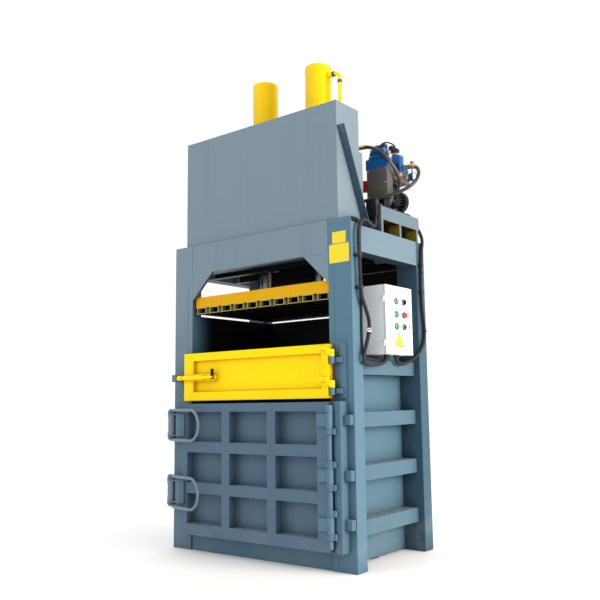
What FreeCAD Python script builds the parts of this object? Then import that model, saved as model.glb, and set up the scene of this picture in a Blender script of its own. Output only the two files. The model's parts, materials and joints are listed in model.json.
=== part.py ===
import FreeCAD
import Part

import math
import os

# Recycling baler with twin hydraulic cylinders. Millimetres, +Z up, the front faces -Y and +X is
# to the right seen from the front. The origin is on the floor, under the middle of the frame.

# ---- Driving dimensions: frame -------------------------------------------------------------
frame_width = 1780.0
frame_depth = 1000.0
frame_height = 2400.0
rear_step = 47.0            # how much lower the rear of the frame ends
post_face = 200.0           # width of a post's front plate
post_depth = 115.0
steel = 10.0                # plate of the posts, beams and chamber walls
post_lip = 18.0             # how far a front post's plate laps over the chamber opening
header_drop = 237.0
beam_width = 120.0
gusset_run = 226.0
gusset_rise = 217.0
gusset_flange = 25.0

# ---- Chamber ----------------------------------------------------------------------------------
wall_gap = 335.0            # open window between the wall tops and the header
wall_foot = 10.0
floor_level = 130.0
base_beam_width = 80.0
base_beam_setback = 12.0
rear_wall_inset = 57.0      # rear wall's inner face to the back of the frame
rib_height = 104.0
rib_depth = 127.0
rib_sheet = 8.0
rib_count = 4
first_rib = 266.0
last_rib_below_wall = 470.0

# ---- Cylinders and platen ------------------------------------------------------------------------
cylinder_pitch = 570.0
cylinder_setback = 450.0    # cylinder axis behind the front of the frame
barrel_radius = 107.5
barrel_bore = 87.5
barrel_rise = 1408.0        # barrel top above the front of the frame
barrel_drop = 103.0         # barrel foot below the rear of the frame
barrel_cap = 40.0
barrel_rounding = 14.0
barrel_flange_radius = 150.0
barrel_flange = 25.0
gland_height = 45.0
gland_radius = 117.0
rod_radius = 55.0
rod_foot_radius = 100.0
rod_foot = 30.0
piston_height = 80.0
piston_top_gap = 38.0
seal_gap = 0.5
crown_beam_width = 60.0
crown_plate = 30.0
crown_plate_gap = 0.5       # between the crown plate and the hood's stays
crown_beam_gap = 2.5        # between the crown beams and the cylinders' glands
flange_seat_gap = 1.5       # between a barrel and its hole in the crown plate
platen_side_gap = 18.0
platen_front_gap = 30.0
platen_rear_gap = 13.0
platen_lift = 10.0          # raised platen above the wall tops
platen_height = 86.0
platen_plate = 12.0
platen_tube = (100.0, 50.0, 5.0)   # width, height and wall
platen_tube_count = 10
platen_tube_margin = 15.0
rod_pad = 240.0

# ---- Main door -----------------------------------------------------------------------------------
door_bottom = 135.0
door_lap_left = 25.0
door_lap_right = 45.0
door_seat = 2.0             # door's back clear of the posts
door_thickness = 86.0
door_skin = 10.0
door_stile_left = 71.0
door_stile_right = 103.0
door_bar = 80.0             # the bars between the pockets
door_bottom_rail = 81.0
door_top_rail = 62.0
hinge_side_gap = 15.0       # hinge axis beyond the door's edge
hinge_front_gap = 10.0      # hinge axis in front of the door's face
hinge_rod_radius = 16.5
hinge_clearance = 0.05
knuckle_radius = 24.0
knuckle_height = 107.0
collar_radius = 27.0
collar_height = 40.0
collar_lug = 8.0            # lug's front before the hinge axis
collar_lug_lap = 12.0
knuckle_gap = 1.0
first_knuckle = 127.0       # lowest knuckle above the door's bottom
middle_knuckle = 445.0
last_knuckle = 69.0         # highest knuckle below the door's top
hinge_cove = 2.0            # door's edge clear of the collars
hinge_head_radius = 26.0
hinge_head = 48.0
hinge_head_rounding = 12.0
hinge_rod_tail = 98.0
leaf_height = 83.0
leaf_length = 91.0
leaf_thickness = 15.0
hinge_bar = (46.0, 80.0, 6.0)      # width, depth and wall
hinge_bar_gap = 34.0
hinge_bar_overlap = 2.0
strap_height = 68.0
strap_length = 54.0
strap_depth = 45.0

# ---- Latches on the main door --------------------------------------------------------------------
latch_side = 117.0          # latch pivot beyond the door's left edge
latch_front = 72.0          # latch pivot in front of the posts
latch_low = 315.0           # lower latch above the door's bottom
latch_high = 162.0          # upper latch below the door's top
latch_half_height = 76.0
latch_plate = 10.0
latch_plate_gap = 1.0
latch_plate_setback = 48.0  # bracket plates' back in front of the door's back
latch_lug_radius = 33.0
latch_web = 44.0
latch_web_gap = 18.0        # web in front of the posts
latch_pin_radius = 12.0
latch_barrel_radius = 35.0
hook_gap = 4.0              # between the open hook and the keeper's lip
latch_swing_at_rest = 10.0  # degrees that the handle stands off the locked position
bail_radius = 11.0
bail_reach = 430.0
bail_half_height = 115.0
bail_offset = 42.0
bail_root = 10.0            # bar's end inside the barrel
bail_root_level = 50.0
bail_curl_gap = 7.0         # between the barrel and the bar that curls round it
bail_joggle = (20.0, 85.0)  # where the bar steps out beyond the pivot
bail_bends = [12.0, 22.0, 40.0, 60.0]
bail_straight = 6.0         # straight between the handle's two end bends
hook_half_height = 18.0
hook_neck = 16.0
hook_root = 30.0
hook_reach = 64.0           # hook's back behind the pivot
hook_tip = 16.0             # hook's tip beside the pivot
hook_plate = 9.5
keeper_half_height = 24.0
keeper_plate = 8.0
keeper_offset = 46.0        # keeper's outer face beside the pivot
keeper_setback = 41.0       # keeper's lip behind the pivot

# ---- Feed door -----------------------------------------------------------------------------------
feed_drop = 312.0           # top of the feed door below the wall tops
feed_gap = 24.0             # gap between the two doors
feed_height = 370.0
feed_lap_left = 25.0
feed_lap_right = 29.0
feed_seat = 6.0
feed_thickness = 54.0
feed_recess = 30.0
feed_hollow = 14.0          # depth of the hollow in the feed door's back
feed_back_rim = 12.0
feed_frame = (103.0, 59.0, 66.0, 60.0)   # left, right, bottom and top
feed_hinge_side = 21.0
feed_hinge_front = 45.0
feed_pin_radius = 10.0
feed_knuckle_radius = 19.0
feed_knuckle_height = 48.0
feed_knuckle_levels = (72.0, 284.0)      # knuckle foot above the feed door's bottom
feed_arm_width = 28.0
feed_arm_thickness = 14.0
feed_arm_length = 92.0
feed_arm_rise = 26.0        # arm's top above the knuckle
feed_arm_foot = (4.0, 32.0)  # edges of the arm's foot above the knuckle's foot
feed_strip = (47.0, 12.0)   # width and thickness of the strip on the post
feed_strip_gap = 47.0
feed_strip_rise = 8.0
feed_lug_offset = 14.0      # lug's front face behind the pin's axis
feed_lug_margin = 6.0
feed_pin_end = 4.0
bolt_level = 179.0          # bolt above the feed door's bottom
bolt_stand = 21.0           # bolt axis in front of the feed door
bolt_radius = 13.0
bolt_collar_radius = 20.0
bolt_collar = 40.0
bolt_tip = 42.0             # bolt's end beyond the feed door's left edge
bolt_length = 388.0
bolt_slack = 0.4
bolt_sleeve_radius = 18.0
bolt_sleeve = (62.0, 290.0)  # sleeve's start and end from the bolt's end
bolt_handle_radius = 10.0
bolt_handle = (-16.0, 62.0)  # handle's foot and head from the bolt's axis
bolt_handle_inset = 12.0     # handle's axis from the bolt's inner end
bolt_keeper_gap = 6.0
bolt_keeper = (44.0, 56.0)  # length and height
bolt_keeper_front = 24.0    # keeper's front before the bolt's axis
bolt_keeper_fit = 2.0
bolt_plate = (54.0, 7.0)    # height and thickness of the bolt's plate
bolt_packing = 30.0         # height of the packing behind the plate

# ---- Hood ----------------------------------------------------------------------------------------
hood_width = 1547.0
hood_height = 875.0
hood_return = 280.0
hood_setback = 15.0
hood_sheet = 4.0
hood_lip = 40.0
hood_notch = (122.0, 205.0, 45.0)  # start and end behind the hood's front, and height
brace_leg = 62.0
brace_sheet = 6.0
brace_top = 685.0           # brace's upper end above the top of the front header
brace_lean = 0.44           # rearward run for each unit of fall
brace_setback = 8.0
brace_spare = 0.2           # share cut off level at the brace's foot
stay_width = 70.0
stay_lap = 20.0             # how far a stay laps inside the hood
stay_height = 608.0

# ---- Control box ---------------------------------------------------------------------------------
box_depth = 194.0
box_width = 366.0
box_height = 500.0
box_level = 1454.0
box_start = 352.0           # box's front side behind the front of the frame
box_rail = 12.0
box_rail_width = 30.0
box_rail_inset = 40.0
box_rail_margin = 14.0      # rails end inside the box's foot and the wall's top
box_sheet = 2.0
panel_depth = 18.0
panel_seam = 0.5
panel_hinge_radius = 6.0
panel_pin_radius = 3.0
panel_knuckle = 20.0
panel_knuckle_gap = 1.0
panel_leaf = 4.0
panel_ear = 14.0            # how far a hinge ear laps over the box's side
panel_hinge_places = (80.0, 100.0)       # hinges above the box's bottom and below its top
button_radius = 11.0
button_fit = 0.4
bezel_radius = 15.0
bezel_height = 6.0
button_height = 8.0
button_columns = (145.0, 248.0)    # behind the box's front side
button_rows = (204.0, 292.0, 388.0)  # above the box's bottom
lock_place = (336.0, 208.0)
lock_radius = 10.0
lock_height = 5.0
button_collar = 4.0         # collar that keeps a button behind the panel
button_tail = 4.0
selector_gap = 0.3
selector_knob = 8.0
selector_grip = (10.0, 8.0)  # height and thickness

# ---- Power pack ----------------------------------------------------------------------------------
platform_level = 98.0       # rail's underside above the rear of the frame
platform_rail = 100.0
platform_length = 545.0
platform_width = 468.0
platform_start = 400.0      # platform's front behind the front of the frame
platform_inset = 2.0
platform_sheet = 8.0
platform_leg = 25.0
platform_foot = 98.0        # width of the outer legs
platform_foot_inset = 35.0  # inner legs in from the platform's side
skid = (292.0, 430.0, 24.0)         # width, length and thickness
skid_inset = 36.0
skid_start = 60.0
pedestal_height = 70.0
manifold = (185.0, 80.0, 235.0)     # width, depth and height
manifold_arm = (85.0, 250.0, 80.0)
manifold_start = 100.0      # manifold behind the platform's front
motor_radius = 88.0
motor_length = 150.0
motor_wall = 10.0
motor_height = 139.0        # motor axis above the platform
motor_fin = 7.0
motor_fin_count = 24
motor_fin_margin = 12.0
motor_fin_width = 4.0
motor_pad = 20.0            # thickness of a mounting pad
motor_pad_half = 80.0
motor_pad_fit = 0.3
terminal_box = (90.0, 80.0, 50.0)   # width, length and height over the housing
shaft_radius = 12.0
shaft_reach = 15.0          # how far the shaft enters the pump
rotor_gap = 1.0
rotor_end_gap = 2.0
bell_length = 50.0
pump_size = 100.0
pump_length = 60.0
fan_cover_length = 45.0
fan_cover_sheet = 3.0
fan_slot = 8.0
fan_slot_count = 12
fan_slot_reach = (25.0, 72.0)
fan_inset = 7.0
fan_blade = 4.0
fan_blade_count = 8
coupling_radius = 30.0
bell_radius = 72.0
bell_wall = 12.0
bell_end = 6.0
bell_window = 36.0
pump_gap = 10.0             # between the manifold and the pump
manifold_inset = 3.0        # manifold in from the platform's side
motor_offset = 45.0         # motor axis beside the manifold's left face
tank_size = (720.0, 370.0, 377.0)
tank_sheet = 5.0
tank_centre = -60.0
tank_gap = 12.0             # tank clear of the cylinders' flanges
tank_foot = 60.0
tank_foot_inset = 20.0
tank_foot_setback = 5.0
filler_place = (120.0, 90.0)        # from the tank's left side and its rear
filler_bore = 30.0
filler_cap = (42.0, 34.0)   # radius and height

# ---- Valves, gauge and junction box ----------------------------------------------------------------
valve_overhang = 10.0       # front valve beyond the manifold's left face
valve_setback = 5.0
valve_base = 78.0           # height of the front valve's body
valve_coil = (122.0, 72.0)  # width and height
valve_coil_place = 99.0     # coil's middle beside the manifold's left face
valve_dome_offset = 19.0
valve_dome_radius = 30.0
valve_dome_top = 178.0
valve_stem_radius = 13.0
valve_stem_rise = 18.0
rear_valve = (98.0, 90.0, 62.0)     # width, depth and height
rear_valve_inset = 46.0     # valve's middle in from the manifold's right face
rear_valve_setback = 145.0
rear_valve_coils = ((-16.0, 150.0), (24.0, 128.0))   # offset from the middle, and top
end_coil = (26.0, 55.0)     # radius and length
end_coil_offset = 16.0
front_plug_size = (46.0, 34.0)      # width and height
front_plug_setback = 18.0
rear_plug_size = (60.0, 36.0, 28.0)
junction_box = (88.0, 45.0, 130.0)
junction_inset = 16.0
gauge_radius = 33.0
gauge_depth = 38.0
gauge_reach = 52.0          # gauge's face beyond the manifold
gauge_inset = 15.0
gauge_drop = 22.0
gauge_stem_radius = 9.0
gauge_post_radius = 5.0
gauge_tap_radius = 12.0
gauge_tap_level = 108.0
gauge_tap = 16.0

# ---- Hoses and conduits --------------------------------------------------------------------------
hose_radius = 14.0
hose_bend_share = 0.45      # share of the shorter run that a bend takes at each end
fitting_radius = 17.0
pipe_radius = 14.0
conduit_radius = 15.0
inner_conduit_radius = 9.0
clip_wall = 4.0
clip_gap = 1.2
clip_height = 18.0
front_clip_levels = (2126.0, 1900.0)
rear_clip_levels = (2170.0, 1955.0)
gland_length = 16.0
gland_wall = 6.5
gland_fit = 0.5
union_length = 36.0
port_drop = 94.0            # top port below the barrel's top
port_reach = 38.0
port_lap = 8.0
port_half = 16.0
riser_x = 500.0
riser_bend = 50.0
upper_cross_pipe = 750.0    # above the front of the frame
lower_cross_pipe = 120.0    # above the rear of the frame
plug_radius = 13.0
coil_plug = 31.0
coil_plug_level = 112.0
valve_plugs = ((100.0, 34.0), (128.0, 26.0))         # level over the manifold and length
manifold_plug = (16.0, 30.0)        # radius and length
manifold_plugs = (30.0, 75.0, 170.0)

# ---- Places worked out from the sizes above ------------------------------------------------------
half_width = frame_width / 2
front = -frame_depth / 2
back = frame_depth / 2
opening_half = half_width - post_face
wall_outer = opening_half + post_lip
wall_inner = wall_outer - steel
rear_height = frame_height - rear_step
header_bottom = frame_height - header_drop
wall_top = header_bottom - wall_gap
post_back = front + post_depth
rear_post_front = back - post_depth
rear_wall_front = back - rear_wall_inset
rear_wall_back = rear_wall_front + steel
last_rib = wall_top - last_rib_below_wall
rib_levels = [first_rib + i * (last_rib - first_rib) / (rib_count - 1) for i in range(rib_count)]

cylinder_y = front + cylinder_setback
barrel_top = frame_height + barrel_rise
barrel_foot = rear_height - barrel_drop
piston_top = barrel_top - barrel_cap - piston_top_gap
platen_half = wall_inner - platen_side_gap
platen_front = front + platen_front_gap
platen_back = rear_wall_front - platen_rear_gap
platen_bottom = wall_top + platen_lift
platen_base = platen_bottom + platen_tube[1]
platen_top = platen_base + platen_height

feed_top = wall_top - feed_drop
feed_bottom = feed_top - feed_height
door_top = feed_bottom - feed_gap
door_left = -opening_half - door_lap_left
door_right = opening_half + door_lap_right
door_back = front - door_seat
door_front = door_back - door_thickness
hinge_x = door_right + hinge_side_gap
hinge_y = door_front - hinge_front_gap
lowest_knuckle = door_bottom + first_knuckle
highest_knuckle = door_top - last_knuckle - knuckle_height
knuckle_feet = [lowest_knuckle, door_bottom + middle_knuckle, highest_knuckle]
hinge_bar_left = hinge_x + hinge_bar_gap

latch_x = door_left - latch_side
latch_y = front - latch_front
latch_levels = {"lower": door_bottom + latch_low, "upper": door_top - latch_high}

feed_left = -opening_half - feed_lap_left
feed_right = opening_half + feed_lap_right
feed_back = front - feed_seat
feed_front = feed_back - feed_thickness
feed_hinge_x = feed_right + feed_hinge_side
feed_hinge_y = front - feed_hinge_front
bolt_y = feed_front - bolt_stand
bolt_z = feed_bottom + bolt_level
bolt_end = feed_left - bolt_tip

hood_front = front + hood_setback
hood_half = hood_width / 2
hood_back = hood_front + hood_return
stay_inner = hood_half - hood_sheet - brace_sheet
crown_top = rear_height + crown_plate

box_x = wall_outer + box_rail
box_y = front + box_start
panel_x = box_x + box_depth + panel_seam
panel_face = panel_x + panel_depth

platform_bottom = rear_height + platform_level
platform_top = platform_bottom + platform_rail
platform_right = half_width - platform_inset
platform_left = platform_right - platform_width
platform_front = front + platform_start
platform_back = platform_front + platform_length
skid_right = platform_right - skid_inset
skid_left = skid_right - skid[0]
skid_front = platform_front + skid_start
skid_top = platform_top + skid[2]
manifold_front = platform_front + manifold_start
manifold_back = manifold_front + manifold[1]
manifold_right = platform_right - manifold_inset
manifold_left = manifold_right - manifold[0]
manifold_bottom = skid_top + pedestal_height
manifold_top = manifold_bottom + manifold[2]
pump_front = manifold_back + pump_gap
bell_front = pump_front + pump_length
motor_front = bell_front + bell_length
motor_back = motor_front + motor_length
motor_x = manifold_left + motor_offset
motor_z = platform_top + motor_height
junction_level = platform_bottom + 19.0


# ---- Shape helpers -------------------------------------------------------------------------------
def at(x, y, z):
    return FreeCAD.Vector(x, y, z)


def block(x, y, z):
    """A box from its low and high value along each axis."""
    return Part.makeBox(x[1] - x[0], y[1] - y[0], z[1] - z[0], at(x[0], y[0], z[0]))


def rod(radius, start, end):
    return Part.makeCylinder(radius, (end - start).Length, start, end - start)


def ring(outer, bore, start, end):
    return rod(outer, start, end).cut(rod(bore, start, end))


def prism(corners, push):
    return Part.Face(Part.makePolygon(corners + [corners[0]])).extrude(push)


def fused(shapes):
    whole = shapes[0]
    for shape in shapes[1:]:
        whole = whole.fuse(shape)
    return whole.removeSplitter()


def group(shapes):
    return Part.makeCompound(shapes)


def inset(span, amount):
    return (span[0] + amount, span[1] - amount)


def square_tube(x, y, z, wall, along):
    """A rectangular hollow section, open at both ends, that runs along one axis."""
    spans = {"x": x, "y": y, "z": z}
    inner = {axis: span if axis == along else inset(span, wall) for axis, span in spans.items()}
    return block(x, y, z).cut(block(inner["x"], inner["y"], inner["z"]))


def mirrored(shape):
    return shape.mirror(at(0, 0, 0), at(1, 0, 0))


def both_sides(shape):
    return group([shape, mirrored(shape)])


def turned(shape, x, y, degrees):
    """The shape turned about a vertical line."""
    copy = shape.copy()
    copy.rotate(at(x, y, 0), at(0, 0, 1), degrees)
    return copy


def bend_radius(before, corner, after, share):
    """The radius of a bend that uses a share of its shorter run."""
    one = corner - before
    two = after - corner
    return share * min(one.Length, two.Length) / math.tan(one.getAngle(two) / 2)


def bent_path(points, radii):
    """Straight runs through the points, joined by tangent arcs."""
    edges = []
    start = points[0]
    for before, corner, after, radius in zip(points, points[1:], points[2:], radii):
        one = (corner - before).normalize()
        two = (after - corner).normalize()
        half_turn = one.getAngle(two) / 2
        cut = radius * math.tan(half_turn)
        arc_start = corner - one * cut
        arc_end = corner + two * cut
        inward = (two - one).normalize()
        arc_middle = corner + inward * (radius / math.cos(half_turn) - radius)
        edges.append(Part.LineSegment(start, arc_start).toShape())
        edges.append(Part.Arc(arc_start, arc_middle, arc_end).toShape())
        start = arc_end
    edges.append(Part.LineSegment(start, points[-1]).toShape())
    return Part.Wire(edges)


def bent_bar(points, bar_radius, radii):
    """A round bar bent along the points."""
    path = bent_path(points, radii)
    section = Part.Circle(points[0], points[1] - points[0], bar_radius).toShape()
    return path.makePipeShell([Part.Wire([section])], True, False)


def hose(name, points, radius):
    """A flexible tube whose bends are as large as its runs allow."""
    points = [at(*point) for point in points]
    radii = [bend_radius(*three, hose_bend_share) for three in zip(points, points[1:], points[2:])]
    tube = bent_bar(points, radius, radii)
    share = tube.Volume / (math.pi * radius**2 * bent_path(points, radii).Length)
    print(name, "radii", [round(value) for value in radii], "volume share", round(share, 4))
    return tube


# ---- Frame ---------------------------------------------------------------------------------------
def front_post():
    box = square_tube((wall_outer, half_width), (front, post_back), (0, frame_height), steel, "z")
    lip = block((opening_half, wall_outer), (front, front + steel), (0, frame_height))
    return box.fuse(lip).removeSplitter()


def rear_post():
    return square_tube((wall_outer, half_width), (rear_post_front, back), (0, rear_height), steel, "z")


def gusset():
    """The sloping corner plate under the header, with a narrow flange along its slope."""
    height = gusset_run * gusset_rise / math.hypot(gusset_run, gusset_rise)

    def triangle(scale, start, depth):
        corner = at(opening_half, start, header_bottom)
        across = at(opening_half - gusset_run * scale, start, header_bottom)
        down = at(opening_half, start, header_bottom - gusset_rise * scale)
        return prism([corner, across, down], at(0, depth, 0))

    hollow = triangle(1 - steel / height, front + steel, gusset_flange)
    return triangle(1, front, gusset_flange).cut(hollow)


def front_header():
    levels = (header_bottom, frame_height)
    plate = block((-opening_half, opening_half), (front, front + steel), levels)
    box = block((-wall_outer, wall_outer), (front + steel, post_back), levels)
    hollow = block((-wall_outer, wall_outer), (front + steel, post_back - steel), inset(levels, steel))
    return group([box.cut(hollow).fuse(plate).removeSplitter(), gusset(), mirrored(gusset())])


def rear_header():
    levels = (header_bottom, rear_height)
    return square_tube((-wall_outer, wall_outer), (rear_post_front, back), levels, steel, "x")


def side_beam():
    across = (half_width - beam_width, half_width)
    return square_tube(across, (post_back, rear_post_front), (header_bottom, rear_height), steel, "y")


def cylinder_crown():
    """Two cross beams under a bored plate, on which the cylinders hang by their flanges."""
    reach = half_width - beam_width
    gap = gland_radius + crown_beam_gap
    levels = (header_bottom, rear_height)
    pieces = []
    for low in (cylinder_y - gap - crown_beam_width, cylinder_y + gap):
        pieces.append(square_tube((-reach, reach), (low, low + crown_beam_width), levels, steel, "x"))
    plate_half = stay_inner - crown_plate_gap
    plate = block((-plate_half, plate_half), (post_back, rear_post_front), (rear_height, crown_top))
    for x in (-cylinder_pitch / 2, cylinder_pitch / 2):
        bottom = at(x, cylinder_y, rear_height)
        plate = plate.cut(rod(barrel_radius + flange_seat_gap, bottom, bottom + at(0, 0, crown_plate)))
    return group(pieces + [plate])


def side_wall():
    return block((wall_inner, wall_outer), (front + steel, rear_wall_back), (wall_foot, wall_top))


def rear_wall():
    return block((-wall_inner, wall_inner), (rear_wall_front, rear_wall_back), (wall_foot, wall_top))


def chamber_floor():
    levels = (floor_level - steel, floor_level)
    return block((-wall_inner, wall_inner), (front + steel, rear_wall_front), levels)


def wall_ribs():
    pieces = []
    for level in rib_levels:
        levels = (level - rib_height / 2, level + rib_height / 2)
        side = square_tube((wall_outer, wall_outer + rib_depth), (post_back, rear_post_front),
                           levels, rib_sheet, "y")
        rear = square_tube((-wall_outer, wall_outer), (rear_wall_back, back), levels, rib_sheet, "x")
        pieces += [side, mirrored(side), rear]
    return group(pieces)


def base_beams():
    levels = (0, floor_level - steel)
    first = front + base_beam_setback
    starts = (first, -base_beam_width / 2, rear_wall_front - base_beam_width)
    across = (-wall_inner, wall_inner)
    return group([square_tube(across, (y, y + base_beam_width), levels, rib_sheet, "x") for y in starts])


# ---- Hood ----------------------------------------------------------------------------------------
def hood():
    levels = (frame_height, frame_height + hood_height)
    inner_half = hood_half - hood_sheet
    shell = block((-hood_half, hood_half), (hood_front, hood_back), levels)
    hollow = block((-inner_half, inner_half), (hood_front + hood_sheet, hood_back),
                   (levels[0], levels[1] - hood_sheet))
    window = block((-inner_half + hood_lip, inner_half - hood_lip), (hood_front + hood_lip, hood_back),
                   levels)
    notch = block((-hood_half, hood_half), (hood_front + hood_notch[0], hood_front + hood_notch[1]),
                  (levels[0], levels[0] + hood_notch[2]))
    return shell.cut(hollow).cut(window).cut(notch)


def brace():
    """An angle iron that slopes from the hood's side down to the side beam."""
    foot_z = rear_height
    head_z = frame_height + brace_top
    head_y = hood_front + brace_setback
    foot_y = head_y + brace_lean * (head_z - foot_z)
    along = at(0, head_y - foot_y, head_z - foot_z)
    across = at(0, along.z, -along.y).normalize()
    outward = at(brace_leg, 0, 0)
    foot = at(hood_half, foot_y, foot_z) - along * brace_spare
    full = along * (1 + brace_spare)
    sheet = at(brace_sheet, 0, 0)
    front_leg = prism([foot, foot + outward, foot + outward + across * brace_sheet,
                       foot + across * brace_sheet], full)
    deep = across * brace_leg
    side_leg = prism([foot, foot + sheet, foot + sheet + deep, foot + deep], full)
    below = block((hood_half - 1, hood_half + 2 * brace_leg), (front, back), (header_bottom, foot_z))
    return front_leg.fuse(side_leg).cut(below).removeSplitter()


def hood_braces():
    depth = (hood_back - stay_lap, hood_back + stay_width - stay_lap)
    stay = block((stay_inner, stay_inner + brace_sheet), depth, (rear_height, rear_height + stay_height))
    return group([brace(), stay, mirrored(stay)])


# ---- Cylinders and platen ------------------------------------------------------------------------
def barrel(x):
    foot = at(x, cylinder_y, barrel_foot)
    top = at(x, cylinder_y, barrel_top)
    flange_foot = at(x, cylinder_y, crown_top)
    body = rod(barrel_radius, foot, top)
    rims = [edge for edge in body.Edges if edge.Closed and abs(edge.CenterOfMass.z - barrel_top) < 0.1]
    body = body.makeFillet(barrel_rounding, rims)
    flange = rod(barrel_flange_radius, flange_foot, flange_foot + at(0, 0, barrel_flange))
    return body.fuse(flange).cut(rod(barrel_bore, foot, top - at(0, 0, barrel_cap))).removeSplitter()


def gland(x):
    top = at(x, cylinder_y, barrel_foot)
    return ring(gland_radius, rod_radius + seal_gap, top - at(0, 0, gland_height), top)


def ram_rod(x):
    """A rod with its foot flange, and the piston that sits on its upper end."""
    foot = at(x, cylinder_y, platen_top)
    shoulder = foot + at(0, 0, rod_foot)
    head = at(x, cylinder_y, piston_top - piston_height)
    stem = rod(rod_foot_radius, foot, shoulder).fuse(rod(rod_radius, shoulder, head))
    piston = rod(barrel_bore - seal_gap, head, head + at(0, 0, piston_height))
    return group([stem.removeSplitter(), piston])


def platen_frame():
    levels = (platen_base, platen_top)
    across = (-platen_half, platen_half)
    depth = (platen_front, platen_back)
    tray = block(across, depth, levels)
    hollow = (platen_base + platen_plate, platen_top)
    tray = tray.cut(block(inset(across, steel), inset(depth, steel), hollow))
    ribs = [block(inset(across, steel), (cylinder_y - steel, cylinder_y + steel), levels)]
    for x in (-cylinder_pitch / 2, cylinder_pitch / 2):
        ribs.append(block((x - steel, x + steel), inset(depth, steel), levels))
        ribs.append(block((x - rod_pad / 2, x + rod_pad / 2),
                          (cylinder_y - rod_pad / 2, cylinder_y + rod_pad / 2), levels))
    return fused([tray] + ribs)


def platen_tubes():
    width, height, wall = platen_tube
    first = -platen_half + platen_tube_margin
    pitch = (2 * -first - width) / (platen_tube_count - 1)
    lefts = [first + i * pitch for i in range(platen_tube_count)]
    return group([square_tube((left, left + width), (platen_front, platen_back),
                              (platen_bottom, platen_bottom + height), wall, "y") for left in lefts])


# ---- Main door -----------------------------------------------------------------------------------
def pocket_spans(low, high, count):
    """Equal gaps between bars of the door's bar width."""
    size = (high - low - (count - 1) * door_bar) / count
    return [(low + i * (size + door_bar), low + i * (size + door_bar) + size) for i in range(count)]


def main_door_grid():
    depth = (door_front, door_back - door_skin)
    grid = block((door_left, door_right), depth, (door_bottom, door_top))
    columns = pocket_spans(door_left + door_stile_left, door_right - door_stile_right, 3)
    rows = pocket_spans(door_bottom + door_bottom_rail, door_top - door_top_rail, 3)
    for column in columns:
        for row in rows:
            grid = grid.cut(block(column, depth, row))
    cove = rod(collar_radius + hinge_cove, at(hinge_x, hinge_y, door_bottom), at(hinge_x, hinge_y, door_top))
    return grid.cut(cove)


def main_door_plate():
    return block((door_left, door_right), (door_back - door_skin, door_back), (door_bottom, door_top))


def latch_bracket(level):
    """Two plates and a web on the door's edge, which hold the latch's pivot pin."""
    reach = latch_half_height + latch_plate_gap
    bracket_front = latch_y - latch_lug_radius
    web = block((door_left - latch_web, door_left), (bracket_front, front - latch_web_gap),
                (level - reach, level + reach))
    pieces = [web]
    for low in (level - reach - latch_plate, level + reach):
        plate = block((latch_x, door_left), (bracket_front, door_back - latch_plate_setback),
                      (low, low + latch_plate))
        low_end = at(latch_x, latch_y, low)
        high_end = at(latch_x, latch_y, low + latch_plate)
        plate = plate.fuse(rod(latch_lug_radius, low_end, high_end))
        pieces.append(plate.cut(rod(latch_pin_radius + hinge_clearance, low_end, high_end)))
    return fused(pieces)


def main_door_fittings():
    """Hinge knuckles with their leaves, and the latch brackets."""
    pieces = []
    for foot in knuckle_feet:
        low = at(hinge_x, hinge_y, foot)
        high = low + at(0, 0, knuckle_height)
        leaf_low = foot + (knuckle_height - leaf_height) / 2
        leaf = block((door_right - leaf_length, hinge_x), (door_front - leaf_thickness, door_front),
                     (leaf_low, leaf_low + leaf_height))
        knuckle = rod(knuckle_radius, low, high).fuse(leaf)
        pieces.append(knuckle.cut(rod(hinge_rod_radius + hinge_clearance, low, high)))
    return group(pieces + [latch_bracket(level) for level in latch_levels.values()])


def main_hinge_bar():
    """The post's half of the hinge: a hollow bar, its straps, and the collars under the knuckles."""
    width, depth, wall = hinge_bar
    levels = (door_bottom - hinge_bar_overlap, door_top + hinge_bar_overlap)
    bar_right = hinge_bar_left + width
    bar_front = front - depth
    pieces = [square_tube((hinge_bar_left, bar_right), (bar_front, front), levels, wall, "z")]
    for foot in knuckle_feet:
        middle = foot + knuckle_height / 2
        pieces.append(block((bar_right, bar_right + strap_length), (front - strap_depth, front),
                            (middle - strap_height / 2, middle + strap_height / 2)))
        collar_feet = [foot - knuckle_gap - collar_height]
        if foot != knuckle_feet[-1]:
            collar_feet.append(foot + knuckle_height + knuckle_gap)
        for collar_foot in collar_feet:
            low = at(hinge_x, hinge_y, collar_foot)
            high = low + at(0, 0, collar_height)
            lug = block((hinge_x, hinge_bar_left + collar_lug_lap), (hinge_y - collar_lug, bar_front),
                        (low.z, high.z))
            collar = rod(collar_radius, low, high).fuse(lug)
            pieces.append(collar.cut(rod(hinge_rod_radius + hinge_clearance, low, high)))
    return group(pieces)


def main_hinge_rod():
    foot = at(hinge_x, hinge_y, knuckle_feet[0] - hinge_rod_tail)
    shoulder = at(hinge_x, hinge_y, knuckle_feet[-1] + knuckle_height + knuckle_gap)
    head = rod(hinge_head_radius, shoulder, shoulder + at(0, 0, hinge_head))
    rims = [edge for edge in head.Edges if edge.Closed and edge.CenterOfMass.z > shoulder.z + 1]
    head = head.makeFillet(hinge_head_rounding, rims)
    return rod(hinge_rod_radius, foot, shoulder).fuse(head).removeSplitter()


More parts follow.
